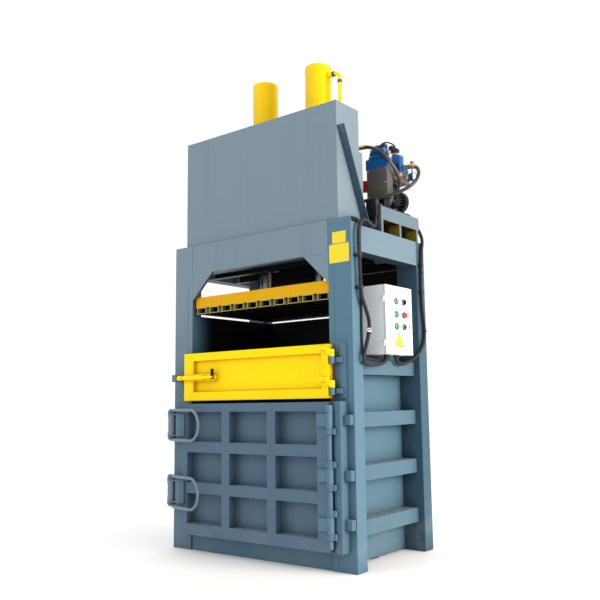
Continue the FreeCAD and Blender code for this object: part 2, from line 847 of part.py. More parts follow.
# ---- Latches -------------------------------------------------------------------------------------
def latch(level):
    """Pin, barrel, hook and bent handle in one, built in the locked position and swung to rest."""
    def near(u, forward, height):
        return at(latch_x + u, latch_y - forward, level + height)

    barrel_top_end = near(0, 0, latch_half_height)
    barrel_low_end = near(0, 0, -latch_half_height)
    body = rod(latch_barrel_radius, barrel_low_end, barrel_top_end)
    body = body.fuse(rod(latch_pin_radius, near(0, 0, -bail_half_height), near(0, 0, bail_half_height)))
    curl = -(latch_barrel_radius + bail_radius + bail_curl_gap)
    root = -latch_barrel_radius + bail_root
    half = bail_half_height
    first, second = bail_joggle
    upper = [(root, 0, bail_root_level), (curl, 0, bail_root_level), (curl, 0, half), (first, 0, half),
             (second, bail_offset, half), (bail_reach, bail_offset, half), (bail_reach, bail_offset, 0)]
    lower = [(u, forward, -height) for u, forward, height in reversed(upper[:-1])]
    corners = bail_bends + [bail_half_height - bail_straight / 2]
    points = [near(*point) for point in upper[:-1] + lower]
    bail = bent_bar(points, bail_radius, corners + corners[::-1])
    hook_levels = (level - hook_half_height, level + hook_half_height)
    neck_right = latch_x + hook_neck / 2
    neck = block((latch_x - hook_neck / 2, neck_right), (latch_y + hook_root, latch_y + hook_reach),
                 hook_levels)
    tip = block((latch_x - hook_tip, neck_right), (latch_y + hook_reach - hook_plate, latch_y + hook_reach),
                hook_levels)
    claw = turned(neck.fuse(tip), latch_x, latch_y, latch_swing_at_rest)
    return turned(fused([body, bail, claw]), latch_x, latch_y, -latch_swing_at_rest)


def latch_keeper(level):
    """A hooked plate on the post, behind the latch's barrel."""
    levels = (level - keeper_half_height, level + keeper_half_height)
    left = latch_x - keeper_offset
    lip_front = latch_y + keeper_setback
    side = block((left, left + keeper_plate), (lip_front, front), levels)
    lip = block((left, latch_x - hook_tip - hook_gap), (lip_front, lip_front + keeper_plate), levels)
    return side.fuse(lip).removeSplitter()


def bolt_keeper_block():
    length, height = bolt_keeper
    right = bolt_end - bolt_keeper_gap
    body = block((right - length, right), (bolt_y - bolt_keeper_front, front),
                 (bolt_z - height / 2, bolt_z + height / 2))
    bore_start, bore_end = (at(x, bolt_y, bolt_z) for x in (right - length, right))
    return body.cut(rod(bolt_collar_radius + bolt_keeper_fit, bore_start, bore_end))


def door_keepers():
    return group([latch_keeper(level) for level in latch_levels.values()] + [bolt_keeper_block()])


# ---- Feed door -----------------------------------------------------------------------------------
def feed_door_panel():
    left, right, bottom, top = feed_frame
    panel = block((feed_left, feed_right), (feed_front, feed_back), (feed_bottom, feed_top))
    recess = block((feed_left + left, feed_right - right), (feed_front, feed_front + feed_recess),
                   (feed_bottom + bottom, feed_top - top))
    hollow = block(inset((feed_left, feed_right), feed_back_rim), (feed_back - feed_hollow, feed_back),
                   inset((feed_bottom, feed_top), feed_back_rim))
    return panel.cut(recess).cut(hollow)


def feed_door_arms():
    """Two bent straps that reach from the door's face to the hinge knuckles."""
    arms = []
    arm_back = feed_front
    arm_front = feed_front - feed_arm_thickness
    for level in feed_knuckle_levels:
        foot = feed_bottom + level
        low = at(feed_hinge_x, feed_hinge_y, foot)
        high = low + at(0, 0, feed_knuckle_height)
        rise = feed_knuckle_height + feed_arm_rise
        fall = rise - feed_arm_width
        side = feed_knuckle_radius
        low_edge, high_edge = feed_arm_foot
        outline = [(-feed_arm_length, fall), (-2 * side, fall - low_edge), (0, low_edge), (side, low_edge),
                   (side, high_edge), (-1.4 * side, rise - low_edge / 2), (-feed_arm_length, rise)]
        corners = [at(feed_hinge_x + x, arm_front, foot + z) for x, z in outline]
        strap = prism(corners, at(0, arm_back - arm_front, 0))
        cheek = block((feed_hinge_x, feed_hinge_x + side), (arm_front, feed_hinge_y),
                      (foot + low_edge, foot + high_edge))
        knuckle = rod(feed_knuckle_radius, low, high)
        arm = fused([strap, cheek, knuckle])
        arms.append(arm.cut(rod(feed_pin_radius + hinge_clearance, low, high)))
    return group(arms)


def feed_hinge_bar():
    """The strip on the post with the fixed knuckles and their pins."""
    width, thickness = feed_strip
    left = feed_hinge_x + feed_strip_gap
    strip_front = front - thickness
    pieces = [block((left, left + width), (strip_front, front), (feed_bottom, feed_top + feed_strip_rise))]
    for level in feed_knuckle_levels:
        high = at(feed_hinge_x, feed_hinge_y, feed_bottom + level - knuckle_gap)
        low = high - at(0, 0, feed_knuckle_height)
        lug = block((feed_hinge_x, left + width / 2), (feed_hinge_y + feed_lug_offset, strip_front),
                    (low.z + feed_lug_margin, high.z - feed_lug_margin))
        knuckle = rod(feed_knuckle_radius, low, high)
        pin = rod(feed_pin_radius, low, high + at(0, 0, knuckle_gap + feed_knuckle_height + feed_pin_end))
        pieces.append(fused([knuckle, lug, pin]))
    return group(pieces)


def bolt_guide():
    """The plate on the feed door, its packing in the recess and the sleeve that holds the bolt."""
    reach = bolt_end + bolt_length
    height, thickness = bolt_plate
    plate = block((feed_left, reach), (feed_front - thickness, feed_front),
                  (bolt_z - height / 2, bolt_z + height / 2))
    packing = block((feed_left + feed_frame[0], reach), (feed_front, feed_front + feed_recess),
                    (bolt_z - bolt_packing / 2, bolt_z + bolt_packing / 2))
    sleeve_start, sleeve_end = (at(bolt_end + place, bolt_y, bolt_z) for place in bolt_sleeve)
    pieces = [plate, packing, rod(bolt_sleeve_radius, sleeve_start, sleeve_end)]
    bore = rod(bolt_radius + bolt_slack, at(bolt_end, bolt_y, bolt_z), at(reach, bolt_y, bolt_z))
    return fused(pieces).cut(bore)


def feed_bolt():
    start = at(bolt_end, bolt_y, bolt_z)
    bar = rod(bolt_radius, start, start + at(bolt_length, 0, 0))
    collar = rod(bolt_collar_radius, start, start + at(bolt_collar, 0, 0))
    handle_x = bolt_end + bolt_length - bolt_handle_inset
    handle_foot, handle_head = (at(handle_x, bolt_y, bolt_z + rise) for rise in bolt_handle)
    handle = rod(bolt_handle_radius, handle_foot, handle_head)
    return fused([bar, collar, handle])


# ---- Control box ---------------------------------------------------------------------------------
box_sides = (box_y, box_y + box_width)
box_levels = (box_level, box_level + box_height)
panel_hinge_x = panel_x + 5.5
panel_hinge_y = box_y - panel_hinge_radius - 1


def panel_hinge_feet():
    low, high = panel_hinge_places
    return (box_level + low, box_level + box_height - high)


def control_box():
    across = (box_x, box_x + box_depth)
    shell = block(across, box_sides, box_levels)
    shell = shell.cut(block((box_x + box_sheet, box_x + box_depth), inset(box_sides, box_sheet),
                            inset(box_levels, box_sheet)))
    pieces = [shell]
    for start in (box_y + box_rail_inset, box_y + box_width - box_rail_inset - box_rail_width):
        pieces.append(block((wall_outer, box_x), (start, start + box_rail_width),
                            (box_level + box_rail_margin, wall_top - box_rail_margin)))
    box_front_edge = box_x + box_depth
    for foot in panel_hinge_feet():
        high = at(panel_hinge_x, panel_hinge_y, foot)
        low = high - at(0, 0, panel_knuckle)
        levels = (low.z, high.z)
        pieces.append(rod(panel_hinge_radius, low, high))
        ear = block((box_front_edge - panel_ear, box_front_edge), (panel_hinge_y - panel_leaf / 2, box_y),
                    levels)
        tongue = block((box_front_edge, panel_hinge_x),
                       (panel_hinge_y - panel_leaf / 2, panel_hinge_y + panel_leaf / 2), levels)
        pieces += [ear, tongue, rod(panel_pin_radius, low, high + at(0, 0, panel_knuckle))]
    return fused(pieces)


def button_places():
    """Place on the panel of each control, by name."""
    names = [["green_button_top", "selector_switch"], ["green_button_middle", "red_button"],
             ["green_button_bottom", "black_button"]]
    return {name: (box_y + column, box_level + row)
            for pair, row in zip(names, reversed(button_rows))
            for name, column in zip(pair, button_columns)}


def panel_door():
    across = (panel_x, panel_face)
    door = block(across, box_sides, box_levels)
    door = door.cut(block((panel_x, panel_face - box_sheet), inset(box_sides, box_sheet),
                          inset(box_levels, box_sheet)))
    pieces = [door]
    for y, z in button_places().values():
        pieces.append(rod(bezel_radius, at(panel_face, y, z), at(panel_face + bezel_height, y, z)))
    lock = at(panel_face, box_y + lock_place[0], box_level + lock_place[1])
    pieces.append(rod(lock_radius, lock, lock + at(lock_height, 0, 0)))
    knuckles = []
    for foot in panel_hinge_feet():
        low = at(panel_hinge_x, panel_hinge_y, foot + panel_knuckle_gap)
        high = at(panel_hinge_x, panel_hinge_y, foot + panel_knuckle)
        knuckles.append((low, high))
        pieces.append(rod(panel_hinge_radius, low, high))
        pieces.append(block((panel_hinge_x, panel_face - box_sheet),
                            (panel_hinge_y - panel_leaf / 2, box_y + box_sheet / 2), (low.z, high.z)))
    whole = fused(pieces)
    for low, high in knuckles:
        whole = whole.cut(rod(panel_pin_radius + hinge_clearance, low, high))
    for y, z in button_places().values():
        whole = whole.cut(rod(button_radius + button_fit, at(panel_x, y, z),
                              at(panel_face + bezel_height, y, z)))
    return whole


def behind_panel(y, z):
    """The collar of a button or switch, behind the panel's sheet."""
    shoulder = panel_face - box_sheet - 1
    return rod(button_radius + button_collar, at(panel_x + 2 * button_tail, y, z), at(shoulder, y, z))


def push_button(y, z):
    cap = panel_face + bezel_height + button_height
    stem = rod(button_radius, at(panel_x + button_tail, y, z), at(cap, y, z))
    return stem.fuse(behind_panel(y, z)).removeSplitter()


def selector(y, z):
    foot = panel_face + bezel_height + selector_gap
    top = panel_face + bezel_height + selector_knob
    height, thickness = selector_grip
    stem = rod(button_radius, at(panel_x + button_tail, y, z), at(foot, y, z))
    knob = rod(bezel_radius, at(foot, y, z), at(top, y, z))
    grip = block((top, top + height), (y - thickness / 2, y + thickness / 2),
                 (z - bezel_radius, z + bezel_radius))
    return fused([stem, behind_panel(y, z), knob, grip])


# ---- Power pack ----------------------------------------------------------------------------------
def pack_platform():
    across = (platform_left, platform_right)
    depth = (platform_front, platform_back)
    tray = block(across, depth, (platform_bottom, platform_top))
    tray = tray.cut(block(inset(across, steel), inset(depth, steel),
                          (platform_bottom, platform_top - platform_sheet)))
    legs = []
    outer = (platform_right - platform_foot, platform_right)
    for y in (platform_front, platform_front + platform_length / 2 - 20, platform_back - platform_leg - 15):
        legs.append(block(outer, (y, y + platform_leg), (rear_height, platform_bottom)))
    inner = (platform_left + platform_foot_inset, platform_left + platform_foot)
    front_leg = cylinder_y + gland_radius + crown_beam_gap + 15
    for y, foot in ((front_leg, crown_top), (rear_post_front + 20, rear_height)):
        legs.append(block(inner, (y, y + platform_leg), (foot, platform_bottom)))
    stretcher = block(inner, (front_leg, platform_back), (platform_bottom, platform_bottom + steel))
    return fused([tray, stretcher] + legs)


def pack_base():
    """The skid plate with the manifold's pedestal and the motor's mounting pads."""
    plate = block((skid_left, skid_right), (skid_front, skid_front + skid[1]), (platform_top, skid_top))
    pedestal = block((manifold_left, skid_right), (manifold_front, manifold_back),
                     (skid_top, manifold_bottom))
    pads = []
    for y in (motor_front + motor_pad, motor_back - 2 * motor_pad):
        pads.append(block((motor_x - motor_pad_half, motor_x + motor_pad_half), (y, y + motor_pad),
                          (skid_top, motor_z - motor_radius + 2)))
    bed_front, bed_back = (at(motor_x, y, motor_z) for y in (motor_front, motor_back))
    bed = rod(motor_radius + motor_fin + motor_pad_fit, bed_front, bed_back)
    pads = [pad.cut(bed) for pad in pads]
    return fused([plate, pedestal] + pads)


def motor_body():
    """The stator housing with its fins and terminal box, and the fan cover behind it."""
    axis_front = at(motor_x, motor_front, motor_z)
    axis_back = at(motor_x, motor_back, motor_z)
    housing = rod(motor_radius, axis_front, axis_back)
    margin = at(0, motor_fin_margin, 0)
    outline = rod(motor_radius + motor_fin, axis_front + margin, axis_back - margin)
    fins = []
    for i in range(motor_fin_count):
        fin = block((motor_x - motor_fin_width / 2, motor_x + motor_fin_width / 2),
                    inset((motor_front, motor_back), motor_fin_margin),
                    (motor_z + motor_radius - motor_fin, motor_z + motor_radius + motor_fin))
        fin.rotate(axis_front, at(0, 1, 0), i * 360.0 / motor_fin_count)
        fins.append(fin.common(outline))
    width, length, height = terminal_box
    terminal_front = (motor_front + motor_back - length) / 2
    terminal = block((motor_x - width / 2, motor_x + width / 2), (terminal_front, terminal_front + length),
                     (motor_z + motor_radius - 2 * motor_fin, motor_z + motor_radius + height))
    body = fused([housing, terminal] + fins)
    end_wall = at(0, motor_wall, 0)
    cavity = rod(motor_radius - motor_wall, axis_front + end_wall, axis_back - end_wall)
    body = body.cut(cavity).cut(rod(shaft_radius + hinge_clearance, axis_front, axis_back))
    cover_end = axis_back + at(0, fan_cover_length, 0)
    cover = rod(motor_radius + 2, axis_back, cover_end)
    cover = cover.cut(rod(motor_radius, axis_back, cover_end - at(0, fan_cover_sheet, 0)))
    for i in range(fan_slot_count):
        slot = block((motor_x - fan_slot / 2, motor_x + fan_slot / 2),
                     (cover_end.y - fan_cover_sheet, cover_end.y),
                     (motor_z + fan_slot_reach[0], motor_z + fan_slot_reach[1]))
        slot.rotate(cover_end, at(0, 1, 0), i * 360.0 / fan_slot_count)
        cover = cover.cut(slot)
    return group([body, cover])


def motor_rotor():
    """The shaft with its rotor core, coupling and cooling fan."""
    def on_axis(y):
        return at(motor_x, y, motor_z)

    core_radius = motor_radius - motor_wall - rotor_gap
    shaft_end = motor_back + fan_cover_length - 2 * fan_inset + rotor_end_gap
    pieces = [rod(shaft_radius, on_axis(bell_front - shaft_reach), on_axis(shaft_end))]
    core = inset((motor_front, motor_back), 2 * motor_wall)
    pieces.append(rod(core_radius, on_axis(core[0]), on_axis(core[1])))
    coupling = inset((bell_front, motor_front), bell_end + rotor_end_gap)
    hub = (motor_back + fan_inset, motor_back + fan_cover_length - 2 * fan_inset)
    for first, last in (coupling, hub):
        pieces.append(rod(coupling_radius, on_axis(first), on_axis(last)))
    for i in range(fan_blade_count):
        blade = block((motor_x - fan_blade / 2, motor_x + fan_blade / 2), inset(hub, 1),
                      (motor_z + shaft_radius, motor_z + core_radius))
        blade.rotate(on_axis(motor_back), at(0, 1, 0), i * 360.0 / fan_blade_count)
        pieces.append(blade)
    return fused(pieces)


def pump():
    """Gear pump and the bell housing that carries it on the motor."""
    def on_axis(y):
        return at(motor_x, y, motor_z)

    half = pump_size / 2
    body = block((motor_x - half, motor_x + half), (pump_front, bell_front), (motor_z - half, motor_z + half))
    socket = bell_front - shaft_reach - 1
    body = body.cut(rod(shaft_radius + hinge_clearance, on_axis(socket), on_axis(bell_front)))
    bell = rod(bell_radius, on_axis(bell_front), on_axis(motor_front))
    hollow = inset((bell_front, motor_front), bell_end)
    bell = bell.cut(rod(bell_radius - bell_wall, on_axis(hollow[0]), on_axis(hollow[1])))
    bell = bell.cut(rod(shaft_radius + 2, on_axis(bell_front), on_axis(motor_front)))
    window = block((motor_x - bell_radius, motor_x + bell_radius),
                   inset((bell_front, motor_front), 2 * bell_end),
                   (motor_z - bell_window / 2, motor_z + bell_window / 2))
    return group([body, bell.cut(window)])


def manifold_block():
    """The drilled steel block with its rear arm."""
    body = block((manifold_left, manifold_right), (manifold_front, manifold_back),
                 (manifold_bottom, manifold_top))
    width, length, height = manifold_arm
    arm = block((manifold_right - width, manifold_right), (manifold_back, manifold_back + length),
                (manifold_top - height, manifold_top))
    return body.fuse(arm).removeSplitter()


def rear_valve_place():
    return (manifold_right - rear_valve_inset, manifold_back + rear_valve_setback)


def valve_blocks():
    """The solenoid valves: one across the manifold's front and one on its rear arm."""
    top = manifold_top
    base, coil_level, dome_level = top + valve_base, top + valve_base + valve_coil[1], top + valve_dome_top
    middle = (manifold_front + manifold_back) / 2
    body = block((manifold_left - valve_overhang, manifold_right),
                 inset((manifold_front, manifold_back), valve_setback), (top, base))
    coil_x = manifold_left + valve_coil_place
    coil = block((coil_x - valve_coil[0] / 2, coil_x + valve_coil[0] / 2), (manifold_front, manifold_back),
                 (base, coil_level))
    dome_x = coil_x - valve_dome_offset
    dome = rod(valve_dome_radius, at(dome_x, middle, coil_level), at(dome_x, middle, dome_level))
    x, y = rear_valve_place()
    width, depth, height = rear_valve
    rear = [block((x - width / 2, x + width / 2), (y - depth / 2, y + depth / 2), (top, top + height))]
    for offset, rise in rear_valve_coils:
        low = at(x + offset, y, top + height)
        rear.append(rod(valve_dome_radius, low, at(x + offset, y, top + rise)))
        rear.append(rod(valve_stem_radius, low, at(x + offset, y, top + rise + valve_stem_rise)))
    end_front = at(x + end_coil_offset, y + depth / 2, top + height / 2)
    rear.append(rod(end_coil[0], end_front, end_front + at(0, end_coil[1], 0)))
    return group([fused([body, coil, dome]), fused(rear)])


def electric_fittings():
    """Plugs of the solenoids, and the junction box on the platform's front."""
    top = manifold_top
    plug_left = manifold_left + valve_coil_place + valve_dome_radius - valve_dome_offset + 2
    plug_foot = top + valve_base + valve_coil[1]
    front_plug = block((plug_left, plug_left + front_plug_size[0]),
                       inset((manifold_front, manifold_back), front_plug_setback),
                       (plug_foot, plug_foot + front_plug_size[1]))
    x, y = rear_valve_place()
    width, depth, height = rear_plug_size
    plug_x = x + rear_valve_coils[0][0]
    plug_foot = top + rear_valve_coils[0][1] + valve_stem_rise
    rear_plug = block((plug_x - width / 2, plug_x + width / 2), (y - depth / 2, y + depth / 2),
                      (plug_foot, plug_foot + height))
    width, depth, height = junction_box
    junction_right = platform_right - junction_inset
    junction = block((junction_right - width, junction_right), (platform_front - depth, platform_front),
                     (junction_level, junction_level + height))
    return group([front_plug, rear_plug, junction])


def pressure_gauge():
    """Round gauge head on the manifold's arm, and the tap above it."""
    y = manifold_back + manifold_arm[1] - gauge_inset
    centre = at(manifold_right, y, manifold_top - gauge_drop)
    face = centre + at(gauge_reach, 0, 0)
    axis = face - at(gauge_depth / 2, 0, 0)
    tap = axis + at(0, 0, gauge_tap_level)
    head = rod(gauge_radius, face - at(gauge_depth, 0, 0), face)
    stem = rod(gauge_stem_radius, centre, axis)
    post = rod(gauge_post_radius, axis, tap)
    cap = rod(gauge_tap_radius, tap, tap + at(0, 0, gauge_tap))
    return fused([head, stem, post, cap])


def oil_tank():
    """The oil tank behind the hood, with its filler neck open and a cap on it."""
    width, depth, height = tank_size
    across = (tank_centre - width / 2, tank_centre + width / 2)
    low_y = cylinder_y + barrel_flange_radius + tank_gap
    sides = (low_y, low_y + depth)
    levels = (crown_top, crown_top + height)
    tank = block(across, sides, levels)
    tank = tank.cut(block(inset(across, tank_sheet), inset(sides, tank_sheet), inset(levels, tank_sheet)))
    neck = at(across[0] + filler_place[0], sides[1] - filler_place[1], levels[1] - tank_sheet)
    rim = neck + at(0, 0, tank_sheet)
    tank = tank.cut(rod(filler_bore, neck, rim))
    inner_foot = across[1] - tank_foot_inset - tank_foot
    feet = [block((x, x + tank_foot), (rear_post_front + tank_foot_setback, sides[1]),
                  (rear_height, levels[0])) for x in (across[0] + tank_foot_inset, inner_foot)]
    cap = rod(filler_cap[0], rim, rim + at(0, 0, filler_cap[1]))
    return group([fused([tank] + feet), cap])


# ---- Hoses, pipes and conduits -------------------------------------------------------------------
# Routes are chosen by hand, from fitting to fitting. Those of the conduits count X from the
# posts' outer face.
def beside_post(points):
    return [(half_width + x, y, z) for x, y, z in points]


supply_route = [(612, -50, 3050), (668, -50, 3050), (738, -52, 3044), (800, -54, 3022), (858, -50, 2982),
                (902, -22, 2926), (926, 34, 2872), (934, 86, 2812), (926, 120, 2752), (894, 124, 2712),
                (860, 120, 2700), (828, 120, 2700)]
return_route = [(906, 225, 2914), (960, 225, 2914), (1018, 208, 2896), (1058, 178, 2850),
                (1074, 138, 2790), (1060, 92, 2728), (1012, 42, 2680), (944, 0, 2650), (862, -26, 2634),
                (772, -36, 2630), (682, -32, 2632), (592, -4, 2634), (506, 50, 2630), (440, 114, 2620),
                (384, 160, 2611), (342, 166, 2610), (318, 166, 2610)]
front_conduit_route = beside_post([
    (-38, -124, 2470), (-38, -124, 2432), (-14, -168, 2388), (8, -232, 2366), (30, -310, 2380),
    (35, -382, 2392), (35, -432, 2366), (35, -455, 2306), (35, -460, 2225), (35, -448, 2030),
    (35, -443, 1846), (35, -392, 1762), (35, -345, 1672), (35, -360, 1572), (35, -414, 1462),
    (34, -428, 1412), (27, -406, 1382), (12, -340, 1374), (-6, -240, 1376), (-18, -150, 1382),
    (-20, -92, 1394), (-20, -58, 1420), (-20, -58, 1454)])
inner_conduit_route = beside_post([
    (-64, -124, 2470), (-64, -124, 2442), (-48, -166, 2406), (-20, -232, 2378), (4, -306, 2373),
    (12, -366, 2377), (12, -398, 2350), (12, -408, 2284), (10, -404, 2150), (10, -408, 1960),
    (10, -404, 1760), (10, -408, 1590), (10, -405, 1486), (13, -398, 1438), (8, -364, 1418),
    (-10, -300, 1412), (-32, -210, 1410), (-45, -120, 1411), (-46, -50, 1412), (-45, -6, 1418),
    (-45, 10, 1432), (-45, 10, 1454)])
rear_conduit_route = beside_post([
    (-44, 445, 2502), (-44, 464, 2502), (-32, 478, 2480), (-12, 480, 2436), (10, 468, 2390),
    (19, 452, 2342), (18, 434, 2280), (18, 414, 2060), (18, 416, 1850), (18, 440, 1716),
    (18, 449, 1640), (18, 430, 1566), (16, 380, 1500), (6, 310, 1442), (-8, 220, 1402),
    (-18, 140, 1388), (-20, 100, 1396), (-20, 78, 1420), (-20, 78, 1454)])


def nut(start, end):
    """A round fitting from one point to the next."""
    return rod(fitting_radius, at(*start), at(*end))


def hose_fittings():
    """Unions at the hose ends, and the plugs of the valves."""
    top = manifold_top
    pump_side = motor_x + pump_size / 2
    middle = (manifold_front + manifold_back) / 2
    coil_right = manifold_left + valve_coil_place + valve_coil[0] / 2
    pieces = [nut((supply_route[0][0] - union_length,) + supply_route[0][1:], supply_route[0]),
              nut((pump_side,) + supply_route[-1][1:], supply_route[-1]),
              nut((rear_valve_place()[0] + rear_valve[0] / 2,) + return_route[0][1:], return_route[0]),
              nut((tank_centre + tank_size[0] / 2,) + return_route[-1][1:], return_route[-1]),
              rod(plug_radius, at(motor_x, manifold_back, motor_z), at(motor_x, pump_front, motor_z)),
              rod(plug_radius, at(coil_right, middle, top + coil_plug_level),
                  at(coil_right + coil_plug, middle, top + coil_plug_level))]
    coil_left = coil_right - valve_coil[0]
    for rise, length in valve_plugs:
        plug_end = at(coil_left, middle, top + rise)
        pieces.append(rod(plug_radius, plug_end - at(length, 0, 0), plug_end))
    for setback in manifold_plugs:
        low = at(manifold_right, manifold_back + setback, top - manifold_arm[2] / 2)
        pieces.append(rod(manifold_plug[0], low, low + at(manifold_plug[1], 0, 0)))
    return group(pieces)


def cylinder_pipes():
    """The riser to the right cylinder's top port, and the cross pipes between the cylinders."""
    x = cylinder_pitch / 2
    port_z = barrel_top - port_drop
    port_end = x + barrel_radius + port_reach
    port = block((x + barrel_radius - port_lap, port_end), (cylinder_y - port_half, cylinder_y + port_half),
                 (port_z - port_half, port_z + port_half))
    union = at(supply_route[0][0] - union_length, cylinder_y, supply_route[0][2])
    points = [at(port_end, cylinder_y, port_z), at(riser_x, cylinder_y, port_z),
              at(riser_x, cylinder_y, union.z), union]
    pieces = [port, bent_bar(points, pipe_radius, [riser_bend, riser_bend])]
    for level in (frame_height + upper_cross_pipe, rear_height + lower_cross_pipe):
        pieces.append(rod(pipe_radius, at(-x, cylinder_y, level), at(x, cylinder_y, level)))
    for side in (-x, x):
        core = rod(barrel_radius, at(side, cylinder_y, barrel_foot), at(side, cylinder_y, barrel_top))
        pieces = [piece.cut(core) for piece in pieces]
    return group([fused(pieces[:2])] + pieces[2:])


def route_at(route, level):
    """Where a falling route crosses a level."""
    for above, below in zip(route, route[1:]):
        if above[2] >= level > below[2]:
            share = (above[2] - level) / (above[2] - below[2])
            return [high + share * (low - high) for high, low in zip(above, below)]


def clip(routes, level):
    """A saddle on the post's side that holds the conduits at one level."""
    levels = (level - clip_height / 2, level + clip_height / 2)
    saddle = None
    for route, radius in routes:
        x, y, _ = route_at(route, level)
        outer = radius + clip_gap + clip_wall
        hoop = rod(outer, at(x, y, levels[0]), at(x, y, levels[1]))
        foot = block((half_width - 1, x), (y - outer, y + outer), levels)
        saddle = hoop.fuse(foot) if saddle is None else saddle.fuse(hoop).fuse(foot)
    for route, radius in routes:
        x, y, _ = route_at(route, level)
        saddle = saddle.cut(rod(radius + clip_gap, at(x, y, levels[0]), at(x, y, levels[1])))
    post = block((wall_outer, half_width), (front, back), levels)
    return saddle.cut(post).removeSplitter()


def conduit_fittings():
    """Clips on the posts, and glands under the control box."""
    front_pair = [(front_conduit_route, conduit_radius), (inner_conduit_route, inner_conduit_radius)]
    pieces = [clip(front_pair, level) for level in front_clip_levels]
    pieces += [clip([(rear_conduit_route, conduit_radius)], level) for level in rear_clip_levels]
    for (x, y, z), radius in ((front_conduit_route[-1], conduit_radius),
                              (inner_conduit_route[-1], inner_conduit_radius),
                              (rear_conduit_route[-1], conduit_radius)):
        low, high = at(x, y, z - gland_length), at(x, y, z)
        pieces.append(ring(radius + gland_fit + gland_wall, radius + gland_fit, low, high))
    return group(pieces)


# ---- The whole machine ---------------------------------------------------------------------------
def all_nodes():
    x = cylinder_pitch / 2
    nodes = {
        "front_post_left": mirrored(front_post()),
        "front_post_right": front_post(),
        "rear_posts": both_sides(rear_post()),
        "front_header": front_header(),
        "rear_header": rear_header(),
        "side_beams": both_sides(side_beam()),
        "cylinder_crown": cylinder_crown(),
        "side_walls": both_sides(side_wall()),
        "rear_wall": rear_wall(),
        "chamber_floor": chamber_floor(),
        "wall_ribs": wall_ribs(),
        "base_beams": base_beams(),
        "hood": hood(),
        "hood_braces": hood_braces(),
        "cylinder_barrel_left": barrel(-x),
        "cylinder_barrel_right": barrel(x),
        "cylinder_glands": group([gland(-x), gland(x)]),
        "ram_rod_left": ram_rod(-x),
        "ram_rod_right": ram_rod(x),
        "platen_frame": platen_frame(),
        "platen_tubes": platen_tubes(),
        "main_door_grid": main_door_grid(),
        "main_door_plate": main_door_plate(),
        "main_door_fittings": main_door_fittings(),
        "main_hinge_bar": main_hinge_bar(),
        "main_hinge_rod": main_hinge_rod(),
        "latch_upper": latch(latch_levels["upper"]),
        "latch_lower": latch(latch_levels["lower"]),
        "door_keepers": door_keepers(),
        "feed_door_panel": feed_door_panel(),
        "feed_door_arms": feed_door_arms(),
        "feed_hinge_bar": feed_hinge_bar(),
        "bolt_guide": bolt_guide(),
        "feed_bolt": feed_bolt(),
        "control_box": control_box(),
        "panel_door": panel_door(),
        "pack_platform": pack_platform(),
        "pack_base": pack_base(),
        "motor_body": motor_body(),
        "motor_rotor": motor_rotor(),
        "pump": pump(),
        "manifold_block": manifold_block(),
        "valve_blocks": valve_blocks(),
        "electric_fittings": electric_fittings(),
        "pressure_gauge": pressure_gauge(),
        "oil_tank": oil_tank(),
        "hose_fittings": hose_fittings(),
        "cylinder_pipes": cylinder_pipes(),
        "conduit_fittings": conduit_fittings(),
        "supply_hose": hose("supply_hose", supply_route, hose_radius),
        "return_hose": hose("return_hose", return_route, hose_radius),
        "front_conduit": hose("front_conduit", front_conduit_route, conduit_radius),
        "rear_conduit": hose("rear_conduit", rear_conduit_route, conduit_radius),
        "inner_conduit": hose("inner_conduit", inner_conduit_route, inner_conduit_radius),
    }
    for name, (y, z) in button_places().items():
        nodes[name] = selector(y, z) if name == "selector_switch" else push_button(y, z)
    return nodes


os.makedirs("parts", exist_ok=True)
for name, shape in all_nodes().items():
    if not shape.isValid():
        print("not valid:", name)
    shape.exportStep(os.path.join("parts", name + ".step"))
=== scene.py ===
# %% [markdown]
# # A twin-cylinder recycling baler
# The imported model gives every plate, door, cylinder and joint at its real size. This lesson adds
# what a model shop adds after that: paint that has lived in a yard, weld beads, bolts, hoses and
# the studio. The frame comes first, because every later place is read from it.

# %% The frame
import json
import math
import random
from itertools import product

import bmesh
import bpy
from mathutils import Matrix, Vector


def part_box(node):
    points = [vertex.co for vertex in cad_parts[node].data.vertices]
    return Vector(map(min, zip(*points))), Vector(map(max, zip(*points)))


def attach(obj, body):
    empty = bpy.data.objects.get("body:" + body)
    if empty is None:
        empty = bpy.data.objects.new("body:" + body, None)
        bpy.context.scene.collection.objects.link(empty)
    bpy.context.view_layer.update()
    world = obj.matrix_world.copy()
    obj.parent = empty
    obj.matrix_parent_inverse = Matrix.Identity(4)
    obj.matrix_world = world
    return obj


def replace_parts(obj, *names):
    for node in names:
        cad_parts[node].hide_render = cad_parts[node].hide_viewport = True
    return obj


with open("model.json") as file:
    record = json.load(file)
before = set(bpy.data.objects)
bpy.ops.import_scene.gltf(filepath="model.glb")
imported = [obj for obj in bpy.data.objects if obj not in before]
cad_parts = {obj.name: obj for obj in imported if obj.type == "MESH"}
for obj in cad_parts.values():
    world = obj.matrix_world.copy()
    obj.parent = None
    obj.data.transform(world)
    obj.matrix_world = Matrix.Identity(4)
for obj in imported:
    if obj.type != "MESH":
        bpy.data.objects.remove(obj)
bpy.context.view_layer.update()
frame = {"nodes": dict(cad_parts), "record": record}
nodes = frame["nodes"]
slot_of = {row["node"]: row["material_slot"] for row in frame["record"]["subparts"]}
mm = 0.001
RIGHT, BACK, UP = Vector((1, 0, 0)), Vector((0, 1, 0)), Vector((0, 0, 1))


def corners(node):
    """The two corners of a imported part's box."""
    low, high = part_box(node)
    return Vector(low), Vector(high)


def middle(node):
    low, high = corners(node)
    return (low + high) / 2


def by_member(groups):
    """Turns {key: members} into {member: key}."""
    return {member: key for key, members in groups.items() for member in members}

# %% [markdown]
# ## Shader maths as Python
# A shader is a graph of nodes, which is hard to read as a list of links. A small class wraps one
# socket and overloads the operators, so `mask * 0.4 + 0.1` adds the Math nodes by itself.

